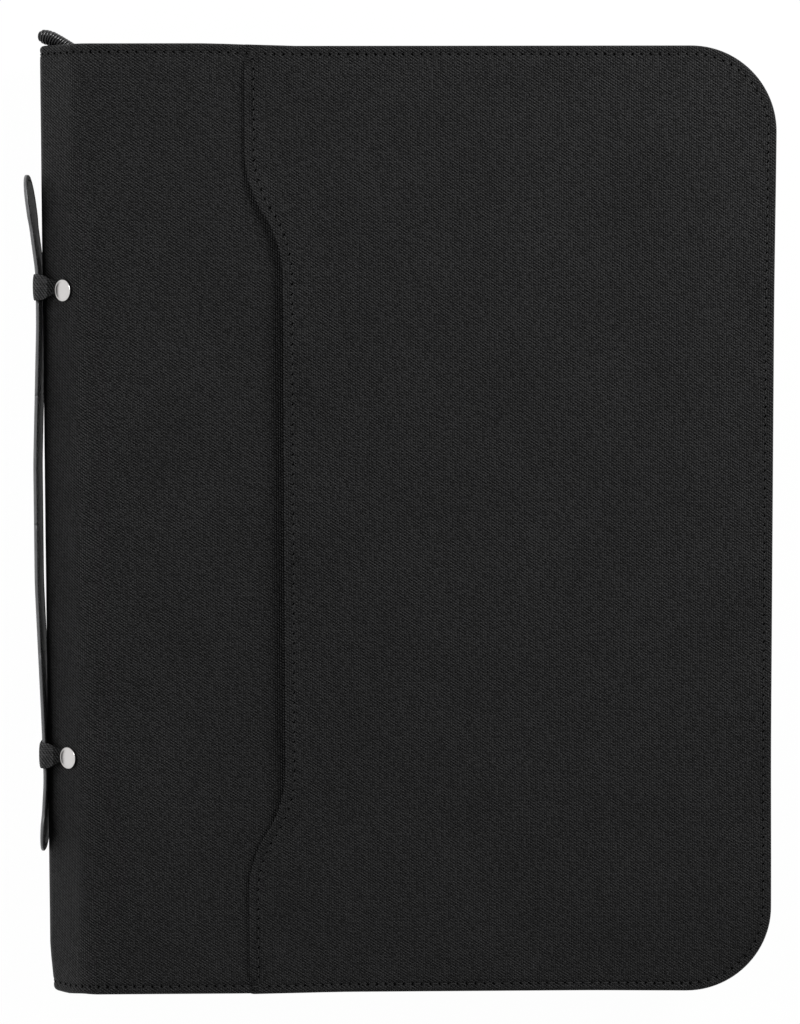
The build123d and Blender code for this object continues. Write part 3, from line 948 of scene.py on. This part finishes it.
strap_mesh = strap_whole()
print("whole strap has", len(strap_mesh.polygons), "faces")

# %% [markdown]
# When the strap is pulled it slides and bends, so it is cut into five lengths, each around one bend, though
# here none is blended across its bend or set on a body. One long piece could follow only two bodies. The
# cuts lie midway between bends, where both sides move alike and no seam opens, and the cut ends are filled.

# %% Strap lengths
bend_reach, strap_fill = 7, 0.9


def close_ends(bm):
    """Fills the openings that a trim leaves."""
    bmesh.ops.holes_fill(bm, edges=[e for e in bm.edges if e.is_boundary], sides=0)


lengths = [
    ("strap_upper_end", 81.5, 200, "strap_tip_up", "strap_end_up", 91, ["strap_tip"]),
    ("strap_at_upper_keeper", 47, 81.5, "strap_end_up", "strap_web_up", 72, ["strap_upper"]),
    ("strap_upper_middle", 0, 47, "strap_web_up", "strap_grip", 22, ["web_upper", "grip"]),
    ("strap_lower_middle", -47, 0, "strap_grip", "strap_web_low", -22, ["web_lower"]),
    ("strap_lower_end", -200, -47, "strap_web_low", "strap_end_low", -72, ["strap_lower"]),
]
for name, low, high, upper_body, lower_body, bend_y, nodes in lengths:
    bm = bmesh.new()
    bm.from_mesh(strap_mesh)
    trim(bm, (0, high, 0), (0, 1, 0))
    trim(bm, (0, low, 0), (0, -1, 0))
    close_ends(bm)
    made = piece(bm, name, [strap_leatherette, painted_hole_shade, edge_paint], replaces=nodes,
                 slot="strap_leatherette")
    above, below = [Vector((strap_x, bend_y + reach, middle_z)) * mm for reach in (bend_reach, -bend_reach)]
    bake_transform(made)
    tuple(above)
    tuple(below)
bpy.data.meshes.remove(strap_mesh)

# %% [markdown]
# Each keeper is a short leatherette band. It lies over the strap, where its outside swells a little, and
# its narrow ends are riveted to the two bevels of the spine. It is cut flat as well, stood upright outside
# the strap, and bent at four places.

# %% Keepers
keeper_up, keeper_turn = 10.8, 18.69
keeper_thick, keeper_edge, keeper_half = 0.4, 0.2, 4.75
bend_parts = 6
stood_up = Matrix(((0, 0, 1, 0), (1, 0, 0, 0), (0, 1, 0, 0), (0, 0, 0, 1)))
keeper_side = [(2.5, 25.5), (2.5, 17.2), (keeper_half, 13.2)]
keeper_points = [(x, -s) for x, s in keeper_side] + [(x, s) for x, s in keeper_side[::-1]]
keeper_points += [(-x, -y) for x, y in keeper_points]
keeper_rounds = {n: (2.4, 7) for n in (0, 5, 6, 11)} | {n: (1.5, 4) for n in (1, 2, 3, 4, 7, 8, 9, 10)}


def keeper(keeper_x, y, name, node):
    bm = pillow(keeper_points, keeper_rounds, keeper_thick, keeper_edge,
                rows=steps(-24, 24, 60), columns=[-4.3, -3.6, -2.4, -1.2, 0, 1.2, 2.4, 3.6, 4.3])
    for v in bm.verts:
        if v.co.z < 0:
            swell = 0.62 * max(1 - abs(v.co.x / mm / keeper_half) ** 2.2, 0) ** 0.45 - 0.05
            v.co.z -= (swell * mm + v.co.z) * smooth(17, 12.5, abs(v.co.y / mm))
    # the band over the strap takes the paler strap leatherette, painted light as on the strap; the riveted
    # tabs take the covers' leatherette
    for face in bm.faces:
        face.material_index = int(abs(face.calc_center_median().y) > 15 * mm)
    put_at(bm, (keeper_x, y, middle_z), stood_up)
    level = {v: v.co.z - middle_z * mm for v in bm.verts}
    for place, turn, wide in ((keeper_turn, -bevel_turn, 1.6), (keeper_up, 90, 2.2)):
        for side in (1, -1):
            for k in range(bend_parts):
                spot = place + ((5 - k) / 5 - 0.5) * wide
                moving = [v for v in bm.verts if level[v] * side > spot * mm]
                bend(bm, moving, (keeper_x, 0, middle_z + side * spot), side * turn / bend_parts, "Y")
    piece(bm, name, [strap_leatherette, leatherette], "spine", [node], "strap_leatherette")


keeper(-134.95, 86.1, "upper_keeper", "handle_loop_upper")
keeper(-134.65, -84.6, "lower_keeper", "handle_loop_lower")

# %% [markdown]
# The rivet caps are pressed nickel: a low dome, a fine groove, and a rolled rim. A profile of a few points,
# spun round its axis, gives the shape. Four copies are turned onto the bevels.

# %% Rivet caps
rivet_in, rivet_y, cap_lift = 8.7, 85, 0.62
rivet_drop = bevel_deep - rivet_in * bevel_deep / bevel_wide
cap_profile = [(0, 0.98), (1.2, 0.94), (2.2, 0.83), (2.9, 0.68), (3.25, 0.56), (3.4, 0.53), (3.55, 0.57),
               (3.78, 0.55), (3.96, 0.40), (4.0, 0.2), (3.9, 0.0), (1.3, -0.02), (1.3, -3.2), (0, -3.2)]


def spin_round(bm, geom, around):
    """Spins a profile once round the z axis."""
    bmesh.ops.spin(bm, geom=geom, cent=(0, 0, 0), axis=upward, angle=2 * math.pi, steps=around,
                   use_merge=True)


def chain(bm, points):
    """Joins points (mm) by edges; returns the new points and edges."""
    line = [bm.verts.new([c * mm for c in point]) for point in points]
    return line, [bm.edges.new(pair) for pair in zip(line, line[1:])]


def rivet_cap():
    bm = bmesh.new()
    line, edges = chain(bm, [(r, 0, z) for r, z in cap_profile])
    spin_round(bm, line + edges, 36)
    bmesh.ops.remove_doubles(bm, verts=bm.verts, dist=tiny)
    bmesh.ops.recalc_face_normals(bm, faces=bm.faces)
    return keep(bm, "cap")


cap = rivet_cap()
bm = bmesh.new()
for y in (rivet_y, -rivet_y):
    for z, turn in ((depth - rivet_drop, -bevel_turn), (rivet_drop, 180 + bevel_turn)):
        place = Matrix.Translation(Vector((spine_x + rivet_in, y, z)) * mm)
        onto_bevel = Matrix.Rotation(math.radians(turn), 4, "Y")
        add_copy(bm, cap, place @ onto_bevel @ Matrix.Translation((0, 0, cap_lift * mm)))
bpy.data.meshes.remove(cap)
piece(bm, "rivet_domes", nickel, "spine", ["rivet_caps"], "rivet_nickel", sharp=50)

# %% [markdown]
# The zip's teeth are turns of a nylon coil. One turn is a ring, made by spinning a small circle, and copies
# of it are set along a path, each facing along it. A curve with a screw would give a true coil, but rings
# are lighter and can lean.

# %% Rings along a path
def ring_mesh(wire, around, sides):
    """A wire ring of radius 1 about the z axis."""
    bm = bmesh.new()
    start = Matrix.Translation((1, 0, 0)) @ Matrix.Rotation(math.pi / 2, 4, "X")
    circle = bmesh.ops.create_circle(bm, segments=sides, radius=wire, matrix=start)
    spin_round(bm, circle["verts"] + bm.edges[:], around)
    bmesh.ops.recalc_face_normals(bm, faces=bm.faces)
    return keep(bm, "ring")


def facing(spot, way, lean=0.0):
    """Places a ring at spot (mm) with its axis along way; z stays up, and lean (degrees) tips it."""
    turn = Matrix((upward.cross(way), upward, way)).transposed().to_4x4()
    return Matrix.Translation(spot * mm) @ turn @ Matrix.Rotation(math.radians(lean), 4, "X")


def stretch(wide, high, long):
    """Sizes in mm as a matrix."""
    return Matrix.Diagonal((wide * mm, high * mm, long * mm, 1))


print("helpers for rings:", [helper.__name__ for helper in (ring_mesh, facing, stretch)])

# %% [markdown]
# The closed zip ends in a short ribbed tongue that curls out above the spine: the coil goes on past the
# cover. Copies of one ring follow the tongue's path, leaning a little, and the last ones shrink to close
# the end. A narrow core of tape shows between them.

# %% Zip end above the spine
rib_pitch, tongue_close = 0.98, 2.7
tongue_wide, tongue_high = 2.3, 2.75
tongue_path = [(-115.5, 168.0), (-122.3, 172.2), (-126.2, 174.6),
               (-128.8, 176.0), (-131.3, 176.6), (-133.2, 176.8)]
rib = ring_mesh(0.2, 16, 6)
bm = bmesh.new()
spots = list(walk([Vector((x, y, middle_z)) for x, y in tongue_path], rib_pitch))
for number, (spot, way) in enumerate(spots):
    short = max(1 - (len(spots) - 0.2 - number) * rib_pitch / tongue_close, 0)
    size = math.sqrt(1 - short ** 2)
    add_copy(bm, rib, facing(spot, way, 20) @ stretch(tongue_wide * size, tongue_high * size, 2.2))
    if number % 2 == 0:
        core = facing(spot, way) @ stretch(tongue_wide * size, tongue_high * size, 1.5)
        bmesh.ops.create_uvsphere(bm, u_segments=12, v_segments=6, radius=1, matrix=core)
bpy.data.meshes.remove(rib)
piece(bm, "zip_end_tongue", nylon, "spine", ["zip_tail_top"], "zip_coil")

# %% [markdown]
# The zip runs round three sides between the covers, as two woven tapes that stand up from the covers like
# low walls. Each tape is the strip between two insets of the cover's outline, with its inner edge pulled up
# in steps.

# %% Zip tapes
tape_lip, chain_in, tape_thick, tape_level = 1.5, 6.5, 0.6, 4.9


def points_of(geom):
    """The points among what an operator returns."""
    return [g for g in geom if isinstance(g, bmesh.types.BMVert)]


def pull_out(bm, edges, move):
    """Extrudes a chain of edges by move (mm) and returns the new chain."""
    grown = bmesh.ops.extrude_edge_only(bm, edges=edges)["geom"]
    points = points_of(grown)
    bmesh.ops.translate(bm, verts=points, vec=[c * mm for c in move])
    return [g for g in grown if isinstance(g, bmesh.types.BMEdge) and all(v in points for v in g.verts)]


def zip_tape(side):
    bm = cut_sheet(*cover_pattern(fold_x - spare, -tape_lip, 24))
    middle = set_in(bm, [chain_in - tape_lip])
    edges = list(middle.edges)
    bmesh.ops.delete(bm, geom=[middle], context="FACES_ONLY")
    for rise in (1.2, 3, 3, 3.6):
        edges = pull_out(bm, edges, (0, 0, rise))
    trim(bm, (fold_x + 3.15, 0, 0), (-1, 0, 0))
    mark_weave(bm, lambda co: (co.x + co.y, co.z + abs(co.y) * 0.001))
    bmesh.ops.recalc_face_normals(bm, faces=bm.faces)
    lift(bm, tape_level)
    if side == "front":
        turn_over(bm)
        lift(bm, depth)
    made = piece(bm, f"{side}_zip_tape", zip_tape_cloth, f"{side}_cover", [f"zip_tape_{side}"], "zip_tape")
    thicken(made, tape_thick)


zip_tape("back")
zip_tape("front")

# %% [markdown]
# Each tape carries a nylon coil on its edge. A true helix would need many more faces, so the coil is one
# small ring, repeated at the pitch of a medium coil zip. The two rows lean opposite ways, half a pitch
# apart, as they do when the slider has pressed them together.

# %% Zip coils
coil_pitch, coil_apart, coil_lean = 1.5, 1.55, 14
chain_path = sorted(outline_path(*cover_pattern(fold_x - 30, 0, 40), chain_in), key=round_order)
coil_turn = ring_mesh(0.28, 8, 4)


def zip_coil(side, way_up, shift):
    bm = bmesh.new()
    for spot, way in walk(chain_path, coil_pitch):
        if spot.x < fold_x + 5.6:
            continue
        spot = spot + way * shift + Vector((0, 0, middle_z + coil_apart * way_up))
        add_copy(bm, coil_turn, facing(spot, way, coil_lean * way_up) @ stretch(1.0, 1.45, 1.35))
    piece(bm, f"{side}_zip_coil", nylon, f"{side}_cover", [f"zip_coil_{side}"], "zip_coil")


zip_coil("back", -1, 0)
zip_coil("front", 1, coil_pitch / 2)
bpy.data.meshes.remove(coil_turn)

# %% [markdown]
# Slider and pull are small metal castings. A casting has no sharp edges, so every edge gets a small bevel,
# which also catches the light. Plates are cut like sheets and raised, and posts are boxes.

# %% Plates and blocks
def soften(bm, edges, reach, segments=3):
    """Bevels edges by reach (mm)."""
    bmesh.ops.bevel(bm, geom=edges, offset=reach * mm, segments=segments, profile=0.5,
                    affect="EDGES", material=-1)


def raise_plate(bm, thick):
    """Gives a flat plate its thickness (mm)."""
    lid = bmesh.ops.extrude_face_region(bm, geom=bm.faces[:])["geom"]
    bmesh.ops.translate(bm, verts=points_of(lid), vec=(0, 0, thick * mm))


def level_edges(bm):
    """The edges that lie flat, all but the upright ones."""
    return [e for e in bm.edges if abs(e.verts[0].co.z - e.verts[1].co.z) < 1e-6]


def block(bm, low, high, soft, segments=3):
    """A box between two corners (mm) with softened edges."""
    low, high = Vector(low), Vector(high)
    size = Matrix.Diagonal((*((high - low) * mm), 1))
    made = bmesh.ops.create_cube(bm, size=1, matrix=Matrix.Translation((low + high) / 2 * mm) @ size)
    soften(bm, list({e for v in made["verts"] for e in v.link_edges}), soft, segments)


print("helpers for castings:", [helper.__name__ for helper in (soften, raise_plate, level_edges, block)])

# %% [markdown]
# The slider has two plates with rounded ends, a wedge between them, and two posts with a bridge over the
# pull's hinge bar. The parts overlap, as they would melt together in a casting.

# %% Slider
slider_place = (-97.5, -166.0, middle_z)
plate_points = [(-6, -4.2), (6, -3.2), (6, 3.2), (-6, 4.2)]
plate_rounds = {0: (2.4, 6), 1: (1.6, 5), 2: (1.6, 5), 3: (2.4, 6)}
plate_thick = 0.9


def beside_slider(offset):
    """A point given from the slider's middle."""
    return [c + d for c, d in zip(slider_place, offset)]


bm = bmesh.new()
for plate_y in (-2.45, 1.55):
    plate = cut_sheet(plate_points, plate_rounds)
    raise_plate(plate, plate_thick)
    bmesh.ops.recalc_face_normals(plate, faces=plate.faces)
    soften(plate, level_edges(plate), 0.28)
    flat = keep(plate, "plate")
    place = Matrix.Translation(Vector(beside_slider((0, plate_y, 0))) * mm)
    add_copy(bm, flat, place @ Matrix.Rotation(-math.pi / 2, 4, "X"))
    bpy.data.meshes.remove(flat)
wedge = ((-5.4, -1.7, -0.3), (-2.9, 1.7, 0.3), 0.12)
posts = [((x - 0.45, -5.3, -1.2), (x + 0.45, -1.9, 1.2), 0.25) for x in (-3.15, 3.15)]
bridge = ((-3.6, -5.4, -1.2), (3.6, -4.5, 1.2), 0.3)
for low, high, soft in (wedge, *posts, bridge):
    block(bm, beside_slider(low), beside_slider(high), soft)
bmesh.ops.recalc_face_normals(bm, faces=bm.faces)
piece(bm, "slider_casting", dark_metal, "slider", ["zip_slider"], "zip_metal", sharp=40)

# %% [markdown]
# The pull is a flat tab, forked at its hinge, where a round bar goes across, and with a hole in its other
# end. The fork is part of the outline. The hole is a circle inside it, and filling between the two leaves
# it open.

# %% Pull
hinge_y, pull_thick, bar_round, bar_long = -169.45, 1.1, 0.58, 5.9
fork = [(0, -3), (24, -3), (24, 3), (0, 3), (0, 1.6), (4.6, 1.6), (4.6, -1.6), (0, -1.6)]
bm = cut_sheet(fork, {1: (2.8, 8), 2: (2.8, 8), 5: (0.8, 4), 6: (0.8, 4)})
bmesh.ops.delete(bm, geom=bm.faces[:], context="FACES_ONLY")
bmesh.ops.create_circle(bm, segments=20, radius=1.0 * mm, matrix=Matrix.Translation((21 * mm, 0, 0)))
bmesh.ops.triangle_fill(bm, use_beauty=True, edges=bm.edges[:])
raise_plate(bm, pull_thick)
lift(bm, -pull_thick / 2)
bmesh.ops.recalc_face_normals(bm, faces=bm.faces)
soften(bm, [e for e in level_edges(bm) if e.calc_face_angle(0) > 1.0], 0.22)
bmesh.ops.create_cone(bm, cap_ends=True, segments=16, radius1=bar_round * mm, radius2=bar_round * mm,
                      depth=bar_long * mm, matrix=Matrix.Rotation(math.pi / 2, 4, "X"))
put_at(bm, (slider_place[0], hinge_y, middle_z), Matrix.Rotation(math.pi / 2, 4, "X"))
piece(bm, "pull_tab", dark_metal, "pull", ["zip_pull"], "zip_metal", sharp=40)

# %% [markdown]
# Inside, thin cloth lines both covers. Each lining is one of the padded sheets from above, only 0.6 mm
# thick.

# %% Linings
lining_in, lining_level = 1.2, 4.3


def lining(side, level):
    bm = pillow(*cover_pattern(fold_x + 0.3, -lining_in, 20), 0.6, 0.3,
                rows=steps(-160, 160, 16), columns=steps(-110, 120, 12))
    lift(bm, level)
    made = piece(bm, f"{side}_lining_cloth", lining_cloth, f"{side}_cover", [f"{side}_lining"],
                 "lining_fabric")


lining("back", lining_level)
lining("front", depth - lining_level)

# %% [markdown]
# At the two folds a strip of the lining's cloth runs from the middle of the spine, round the fold and onto
# the cover. A line along the spine is pulled out in small steps to make it. It is not blended across the
# fold: its placement is only baked into its points, and it rides on no body.

# %% Gutters
spine_inside, gutter_end, gutter_thick = -118.2, top_y - 1.4, 0.3
up_the_spine = [(0, 0, 3.2)] * 4
round_the_fold = [(0.02, 0, 0.45), (0.12, 0, 0.4), (0.3, 0, 0.3), (0.4, 0, 0.1), (0.5, 0, 0.02)]
onto_the_cover = [(0.8, 0, 0)] * 4 + [(2.5, 0, 0)] * 4


def gutter(side, nodes):
    bm = bmesh.new()
    edges = chain(bm, [(spine_inside, y, middle_z) for y in steps(-gutter_end, gutter_end, 24)])[1]
    for move in up_the_spine + round_the_fold + onto_the_cover:
        edges = pull_out(bm, edges, move)
    mark_weave(bm, lambda co: (co.x + co.z, co.y))
    bmesh.ops.recalc_face_normals(bm, faces=bm.faces)
    if side == "back":
        turn_over(bm)
        lift(bm, depth)
    made = piece(bm, f"{side}_gutter", lining_cloth, replaces=nodes, slot="lining_fabric")
    thicken(made, gutter_thick)
    blend_over_fold(made, side, (-118.3, 0, 31.2), (-115.4, 0, 33.4))


gutter("front", ["spine_lining"])
gutter("back", [])

# %% [markdown]
# The inside pockets and the pad's sleeve are hemmed cloth, sewn on three sides. They are thin padded sheets
# too, laid one on the other, with a row of stitches round the sewn sides and one along the hem.

# %% Inside pockets and sleeve
sewn_in, hem_deep, pocket_pitch = 2.2, 4, 3.2
card_bottom, card_step = 34.1, 0.6


def inside_pocket(name, x0, x1, y0, y1, z0, z1, body, nodes=(), up=1):
    bm = pillow([(x0, y0), (x1, y0), (x1, y1), (x0, y1)], {0: (3, 5), 1: (3, 5)}, z1 - z0, 0.35,
                rows=steps(y0 + 6, y1 - 6, 8), columns=steps(x0 + 6, x1 - 6, 8))
    lift(bm, (z0 + z1) / 2)
    left, right, low = x0 + sewn_in, x1 - sewn_in, y0 + sewn_in
    sides = [(left, y1 - 1), (left, low), (right, low), (right, y1 - 1)]
    hem = [(x0 + hem_deep, y1 - hem_deep), (x1 - hem_deep, y1 - hem_deep)]
    for row in (sides, hem):
        for spot, way in walk([Vector((x, y, 0)) for x, y in row], pocket_pitch):
            lay_stitch(bm, Vector((spot.x, spot.y, z1 if up > 0 else z0)), way, Vector((0, 0, up)), 0.85)
    return piece(bm, name, [pocket_cloth, painted_hole_shade], body, nodes, "lining_fabric")


sleeve = inside_pocket("pad_sleeve_cloth", -98, 122, -153.5, 102.5, 5.6, 6.2, "back_cover", ["pad_sleeve"])
papers = inside_pocket("document_pocket_cloth", -101.9, 113.25, -156.5, 33.5, 32.6, 33.35, "front_cover",
                       ["document_pocket"], up=-1)
for number, top in enumerate((122.1, 107.1, 92.1)):
    high = 33.4 - card_step * number
    card = inside_pocket(f"card_pocket_{number + 1}", -101.9, -3.9, card_bottom, top, high - 0.6, high - 0.02,
                         "front_cover", ["card_pockets"] if number == 0 else [], up=-1)

# %% [markdown]
# The writing pad is a block of A4 sheets on a grey card. A solid block would look like wood, so thin leaves
# are stacked, each a hair out of line, by random numbers with a fixed seed.

# %% Leaves of the pad
random.seed(7)
leaves, leaf_thick = 24, 0.23
pad_left, pad_right, pad_half = -92.8, 116.8, 148.3
pad_low, pad_high = 6.22, 6.0 - 0.04
bm = bmesh.new()
for leaf in range(leaves):
    low = pad_low + leaf * pad_high / leaves
    dx, dy = random.uniform(-0.12, 0.12), random.uniform(-0.15, 0.05)
    high = low + leaf_thick
    block(bm, (pad_left + dx, -pad_half + dy, low), (pad_right + dx, pad_half + dy, high), 0.05, 1)
piece(bm, "pad_leaves", page_white, "back_cover", ["pad_paper"], "paper", sharp=40)

# %% [markdown]
# A binding tape folds over the head of the pad. As with the gutters, a line is pulled out step by step:
# along the top leaf, round its edge, and down the head.

# %% Binding tape
binding_thick = 0.25
over_the_top, round_the_edge = [(0, 7, 0)] * 3, [(0, 0.72, -0.06), (0, 0.2, -0.2), (0, 0.05, -0.4)]
down_the_head = [(0, 0, -1.75)] * 4
bm = bmesh.new()
edges = chain(bm, [(x, 126.6, 12.36) for x in steps(-93, 117, 10)])[1]
for move in over_the_top + round_the_edge + down_the_head:
    edges = pull_out(bm, edges, move)
bmesh.ops.recalc_face_normals(bm, faces=bm.faces)
tape_over = piece(bm, "pad_binding_tape", binding_paper, "back_cover", ["pad_binding"], "binding_tape")
thicken(tape_over, binding_thick)

# %% [markdown]
# The pen loop is a ring of ribbed elastic sewn to the middle of the spine's lining. A circle is pulled out
# along the spine to make the ring, because the weave then runs evenly round it.

# %% Pen loop
pen_x, pen_round, pen_half, elastic_thick = -112.1, 5.95, 18, 0.8
pen_axis = Vector((pen_x, 0, middle_z)) * mm


def round_the_pen(co):
    """A point's place on the unrolled elastic."""
    away = co - pen_axis
    return math.atan2(away.z, abs(away.x)) * pen_round * mm, away.y


bm = bmesh.new()
start = Matrix.Translation(Vector((pen_x, -pen_half, middle_z)) * mm) @ Matrix.Rotation(math.pi / 2, 4, "X")
bmesh.ops.create_circle(bm, segments=40, radius=pen_round * mm, matrix=start)
edges = bm.edges[:]
for move in [(0, 3, 0)] * 12:
    edges = pull_out(bm, edges, move)
mark_weave(bm, round_the_pen)
bmesh.ops.recalc_face_normals(bm, faces=bm.faces)
pen_ring = piece(bm, "pen_loop_elastic", elastic_cloth, "spine", ["pen_loop"], "elastic")
thicken(pen_ring, elastic_thick)

# %% [markdown]
# Behind the ring a flat tab of the same elastic takes the stitches. It is a padded sheet again, stood
# upright.

# %% Tab of the pen loop
bm = pillow([(-pen_half, -7.5), (pen_half, -7.5), (pen_half, 7.5), (-pen_half, 7.5)], {}, elastic_thick, 0.4,
            columns=steps(-15, 15, 6))
put_at(bm, (-118.05, 0, middle_z), stood_up)
pen_tab = piece(bm, "pen_loop_tab", elastic_cloth, "spine", slot="elastic")

# %% [markdown]
# The lower end of the zip is folded back inside the spine, where hardly any of it shows. A short flat
# tongue of tape with rounded edges stands for it, in the box of the CAD node.

# %% Lower zip end
low_corner, high_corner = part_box("zip_tail_bottom")
low_corner, high_corner = Vector(low_corner) / mm, Vector(high_corner) / mm
left, right = low_corner.x, high_corner.x
bm = pillow([(left, -3), (right, -3), (right, 3), (left, 3)], {0: (1.5, 4), 3: (1.5, 4)}, 2.6, 0.9,
            columns=steps(left + 1, right - 1, 8))
put_at(bm, (0, (low_corner.y + high_corner.y) / 2, middle_z), Matrix.Rotation(math.pi / 2, 4, "X"))
piece(bm, "lower_zip_end", zip_tape_cloth, "spine", ["zip_tail_bottom"], "zip_tape")

# %% [markdown]
# Inside each cover lies a stiff board. It is cut a little smaller than the cover, so that the leatherette
# has room to turn over its edges, which is why it is drawn anew here.

# %% Cover boards
board_in, board_thick, board_level = 3.4, 1.9, 3.0
for side, level in (("front", depth - board_level), ("back", board_level)):
    bm = pillow(*cover_pattern(fold_x + 4.0, -board_in, 16), board_thick, 0.25)
    lift(bm, level)
    piece(bm, f"{side}_cover_board", grey_board, f"{side}_cover", [f"{side}_board"], "board")

# %% [markdown]
# The spine's formed board keeps the CAD shape, but it is cut shorter, because the ends of the spine are
# soft and pinched. A copy of the CAD mesh is joined up, cut off at both ends, and closed again. A limited
# dissolve then clears the needless points along its straight edges, so no thin slivers are left.

# %% Spine board
spine_board_end = 157
bm = bmesh.new()
bm.from_mesh(bpy.data.objects["spine_board"].data)
bmesh.ops.remove_doubles(bm, verts=bm.verts, dist=1e-6)
for way in (1, -1):
    trim(bm, (0, way * spine_board_end, 0), (0, way, 0))
close_ends(bm)
bmesh.ops.dissolve_limit(bm, angle_limit=math.radians(1), verts=bm.verts, edges=bm.edges)
bmesh.ops.triangulate(bm, faces=bm.faces)
bmesh.ops.dissolve_degenerate(bm, dist=0.01 * mm, edges=bm.edges)
piece(bm, "spine_stiffener", grey_board, "spine", ["spine_board"], "board")

# %% [markdown]
# What is left of the CAD model keeps its own shape: the pad's card, rivet backs and zip stops. Each of
# these nodes gets one of the finishes above in its material slots.

# %% Finishes on the CAD nodes
node_finish = {"pad_backer": grey_board, "rivet_backs": nickel,
               "zip_stops_front": dark_metal, "zip_stops_back": dark_metal}
for shown in bpy.data.objects:
    if "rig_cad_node" in shown and not shown.hide_render:
        finish = node_finish.get(shown["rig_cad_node"]) or node_finish.get(shown.name)
        print("shown CAD node", shown.name, finish.name if finish else "has no finish yet")
        if finish:
            for slot in shown.material_slots:
                slot.material = finish

# %% [markdown]
# The stage is a wide white table. It is plain white paint, and to the camera it also glows a little, so the
# picture's background is white while the object's shadow stays on it.

# %% Table
def seen(tree):
    """1 for what the camera sees, straight, mirrored or through glass, and 0 for light on things."""
    ray = put(tree, "ShaderNodeLightPath").outputs
    indirect = calc(tree, "MAXIMUM", ray["Is Glossy Ray"], ray["Is Transmission Ray"])
    return calc(tree, "MAXIMUM", ray["Is Camera Ray"], indirect)


white, tree, paint = new_finish("white table")
feed(tree, paint, {"Base Color": (0.95, 0.95, 0.95, 1), "Roughness": 0.9, "Specular IOR Level": 0.1})
glow = put(tree, "ShaderNodeEmission", {"Strength": 1.0})
both = put(tree, "ShaderNodeMixShader", {
    "Fac": calc(tree, "MULTIPLY", seen(tree), 0.98), 1: paint.outputs[0], 2: glow.outputs[0]})
feed(tree, tree.nodes["Material Output"], {"Surface": both.outputs[0]})
bm = bmesh.new()
bmesh.ops.create_grid(bm, x_segments=2, y_segments=2, size=3.0, matrix=Matrix.Translation((0, 0, -0.2 * mm)))
table = piece(bm, "table", white)

# %% [markdown]
# A white room and two softboxes light the object, as in a product photograph. The room looks white but
# gives little light, because the black weave needs light from the side to show. The softbox beside the
# spine isn't mirrored in the metal, so the rivets stay calm.

# %% Room and lamps
room_light, room_seen = 0.10, 0.90
room = bpy.data.worlds.new("white room")
studio.world = room
room.use_nodes = True
tree = room.node_tree
feed(tree, tree.nodes["Background"], {
    "Color": (1, 1, 1, 1), "Strength": calc(tree, "MULTIPLY_ADD", seen(tree), room_seen, room_light)})


def soft_lamp(name, place, aim, size, power, mirrored=True):
    """A square softbox at place, turned to aim, both in metres."""
    lamp = bpy.data.lights.new(name, "AREA")
    lamp.size, lamp.energy = size, power
    made = bpy.data.objects.new(name, lamp)
    studio.collection.objects.link(made)
    made.location = place
    made.visible_glossy = mirrored
    made.rotation_euler = (Vector(aim) - Vector(place)).to_track_quat("-Z", "Y").to_euler()


soft_lamp("softbox beyond the top right corner", (0.55, 0.50, 0.42), (0.06, 0.06, 0.03), 0.34, 8.4)
soft_lamp("softbox beside the spine", (-0.95, 0.15, 0.28), (-0.12, 0.0, 0.02), 1.2, 20.0, mirrored=False)
print("lamps:", len(bpy.data.lights))
